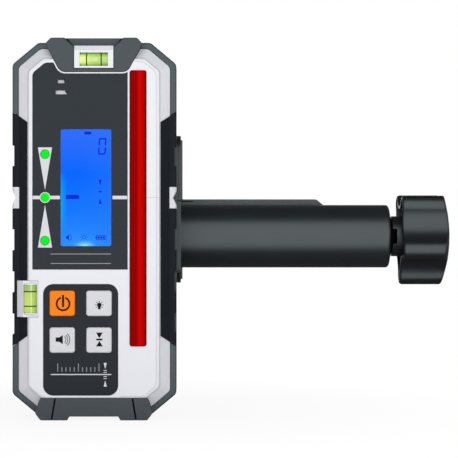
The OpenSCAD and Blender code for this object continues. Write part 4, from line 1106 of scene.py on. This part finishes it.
# What the display shows
def zero_digit():
    """A leaning zero of six strokes."""
    lean, pivot = 0.06, 38.0
    strokes = [bar(2.5, 5.3, 41.25, 41.9), bar(2.1, 2.75, 38.5, 41.6), bar(5.0, 5.65, 38.5, 41.6),
               bar(2.1, 2.75, 34.6, 37.5), bar(5.0, 5.65, 34.6, 37.5), bar(2.4, 5.1, 34.2, 34.85)]
    return [[(x + lean * (z - pivot), z) for x, z in stroke] for stroke in strokes]


def level_signs():
    """A small bar between two pointers, and the long level bar."""
    x, half = 2.95, 0.75
    return [pointer(x, 22.7, 20.0, half), bar(x - half, x + half, 16.85, 17.45), pointer(x, 11.5, 14.2, half),
            bar(-12.8, -6.8, 13.8, 15.7)]


def status_signs():
    """Signs for sound, lamp and battery."""
    x, z = -4.46, -3.7
    horn = [(-12.0, -4.6), (-11.4, -5.4), (-11.4, -2.4), (-12.0, -3.2)]
    sound = [bar(-12.7, -12.0, -4.6, -3.2), horn, bow(-12.0, -3.9, 1.75, 1.5, -55, 55)]
    lamp = ring(x, z, 0.75, 0.55) + spokes(x, z, range(0, 360, 45), 1.1, 1.75, 0.09)
    cell = [bar(1.2, 5.7, -3.05, -2.8), bar(1.2, 5.7, -5.05, -4.8), bar(5.45, 5.7, -4.8, -3.05),
            bar(1.2, 1.45, -4.8, -3.05), bar(0.8, 1.2, -4.4, -3.45)]
    blocks = [bar(left, left + 0.9, -4.45, -3.4) for left in (1.75, 2.95, 4.15)]
    return sound + lamp + cell + blocks


def make_display_ink():
    """Dark signs on the lit display."""
    minus = bar(-4.35, -1.2, 43.45, 44.85)
    signs = [minus] + zero_digit() + level_signs() + status_signs()
    print_on("display_ink", signs, "ink", local_box("display_window")[4])


# Trim
def make_speaker_gauze():
    """Pale gauze behind the sound slots."""
    front, back = 1.9, 2.3
    slots = ((-16.6, -13.4, 0.5, 67.0, 68.6), (-17.6, -12.3, 1.2, 62.0, 63.8))
    lofts = [prism([(left, low), (right, low), (right - slant, high), (left, high)], front, back)
             for left, right, slant, low, high in slots]
    lofted("speaker_gauze", lofts, "white")


def make_groove_shade():
    """Painted shade: dark strips in the bottom bumper's grooves and at the ends of the notch over the vial.
    """
    inset, groove_front, groove_back = 0.3, 0.15, 0.45
    notch_floor, foot_proud, foot_sink = 3.0, 0.06, 0.1
    low, high, front = local_box("bottom_bumper")[2:5]
    groove = [(17.45, high - inset), (19.15, low + inset), (19.75, low + inset), (18.05, high - inset)]
    foot = [(9.25, 83.7), (12.95, 87.7), (12.25, 87.7), (8.65, 83.7)]
    lofts = []
    for side in (-1, 1):
        for outline, top, bottom in ((groove, front + groove_front, front + groove_back),
                                     (foot, notch_floor - foot_proud, notch_floor + foot_sink)):
            lofts.append(prism([(side * x, z) for x, z in outline], top, bottom))
    lofted("groove_shade", lofts, "sleeve")


# Stage, light and camera
PHOTO_SIDE = 458
PIXEL = 0.4601
HOUSING_COLUMN = 93.8
EYE_X = 0.2
EYE_DISTANCE = 900
STAGE_MIDDLE = Vector((21.2 * MM, FACE_Y, MIDDLE_Z))


def shown_rays(tree):
    """1 for what the camera sees, straight, mirrored or through glass."""
    path = tree.nodes.new("ShaderNodeLightPath")
    seen, mirrored, through = (Wire(tree, path.outputs[kind]) for kind in (
        "Is Camera Ray", "Is Glossy Ray", "Is Transmission Ray"))
    return (seen + mirrored + through).clipped()


def floor_white():
    """White floor that keeps some shadow near the object and none further off."""
    shadow_r, fade_w, least_white, tone = 0.06, 0.14, 0.9, (0.9, 0.9, 0.9)
    skin = new_skin("stage_white")
    material = coat_skin(skin, {"Base Color": tone, "Roughness": 0.9})
    bright = skin.make("Emission", {}, {"Color": WHITE, "Strength": 1.0})
    spot = skin.make("NewGeometry", out="Position")
    foot = (MIDDLE_X, 0.0, FLOOR_Z)
    away = skin.make("VectorMath", {"operation": "DISTANCE"}, {0: spot, 1: foot}, "Value")
    far = ((away - shadow_r) / fade_w).clipped()
    white = shown_rays(skin.tree) * (least_white + (1 - least_white) * far)
    matt = Wire(skin.tree, skin.tree.nodes["Principled BSDF"].outputs[0])
    mixed = skin.make("MixShader", {}, {0: white, 1: matt, 2: bright})
    join(skin.tree, mixed, skin.tree.nodes["Material Output"].inputs["Surface"])
    return material


def flat_stage(name, material, low, high):
    """A flat sheet of the stage between two corners."""
    data = bpy.data.meshes.new(name)
    (x, y, z), (far_x, far_y, far_z) = low, high
    data.from_pydata([(x, y, z), (far_x, y, far_z), (far_x, far_y, far_z), (x, far_y, z)], [], [(0, 1, 2, 3)])
    data.materials.append(material)
    piece = linked(name, data)
    return piece


def make_floor():
    """Floor that holds back neither the lamps nor the reflections."""
    half_w, front, back = 4.0, -0.22, 4.0
    floor = flat_stage("floor", floor_white(), (-half_w, front, FLOOR_Z), (half_w, back, FLOOR_Z))
    floor.visible_shadow = False
    floor.visible_glossy = False


def make_surroundings():
    """White surroundings that give a softer light than they show."""
    world = bpy.data.worlds.new("surroundings")
    bpy.context.scene.world = world
    world.use_nodes = True
    tint = shown_rays(world.node_tree).blend((0.34, 0.34, 0.345), WHITE)
    backdrop = world.node_tree.nodes["Background"]
    join(world.node_tree, tint, backdrop.inputs["Color"])
    backdrop.inputs["Strength"].default_value = 1.0


def make_cards():
    """Dark cards round the stage that show in reflections alone."""
    half_w, front, under_front, side_front, back, top = 0.9, -0.24, -0.1, 0.15, 1.1, 0.33
    left, right, under = -0.42, 0.45, FLOOR_Z - 0.0006
    material = coat_skin(new_skin("dark_card"), {
        "Base Color": (0.01, 0.01, 0.01), "Roughness": 1.0, "Specular IOR Level": 0.0,
        "Emission Color": (0.07, 0.07, 0.07), "Emission Strength": 1.0})
    for name, low, high in (
            ("card_over", (-half_w, front, top), (half_w, back, top)),
            ("card_under", (-half_w, under_front, under), (half_w, back, under)),
            ("card_left", (left, side_front, FLOOR_Z), (left, back, top)),
            ("card_right", (right, side_front, FLOOR_Z), (right, back, top))):
        card = flat_stage(name, material, low, high)
        for rays in ("camera", "diffuse", "shadow", "transmission"):
            setattr(card, "visible_" + rays, False)


def soft_lamp(name, size, energy, offset, tilt):
    """A flat lamp that shines down where it isn't tilted."""
    lamp = bpy.data.lights.new(name, "AREA")
    lamp.shape = "RECTANGLE"
    lamp.size, lamp.size_y = size
    lamp.energy = energy
    piece = linked(name, lamp)
    piece.location = STAGE_MIDDLE + Vector(offset)
    piece.rotation_euler = (tilt, 0, 0)
    return piece


def make_lamps():
    """Soft light from the front, and an unseen fill from behind."""
    soft_lamp("softbox", (1.6, 2.25), 15.6, (0.06, -1.05, 0.2), pi / 2)
    fill = soft_lamp("fill", (1.6, 1.6), 9.0, (0.0, 1.3, 0.3), -pi / 2)
    fill.visible_camera = False


def make_camera():
    """Camera whose frame is as wide as the photo's at the front face."""
    frame_w = PHOTO_SIDE * PIXEL * MM
    frame_x = MIDDLE_X + (PHOTO_SIDE / 2 - HOUSING_COLUMN) * PIXEL * MM
    camera = bpy.data.cameras.new("camera")
    camera.sensor_width = 36.0
    camera.lens = camera.sensor_width * EYE_DISTANCE * MM / frame_w
    camera.shift_x = (frame_x - EYE_X * MM) / frame_w
    camera.clip_start = 0.01
    view = linked("camera", camera)
    view.location = (EYE_X * MM, FACE_Y - EYE_DISTANCE * MM, MIDDLE_Z)
    view.rotation_euler = (pi / 2, 0, 0)
    bpy.context.scene.camera = view
    bpy.context.scene.view_settings.view_transform = "Standard"


make_floor()
make_surroundings()
make_cards()
make_lamps()
make_camera()
dress_solids()
dress_inside()
make_knob()
make_hub_shade()
make_spindle()
make_case_screws()
make_top_vial()
make_side_vial()
make_lights()
make_face_print()
make_face_rules()
make_face_crease_shade()
make_index_line()
make_power_symbol()
make_lamp_symbol()
make_sound_symbol()
make_precision_symbol()
make_keypad_prints()
make_display_ink()
make_speaker_gauze()
make_groove_shade()
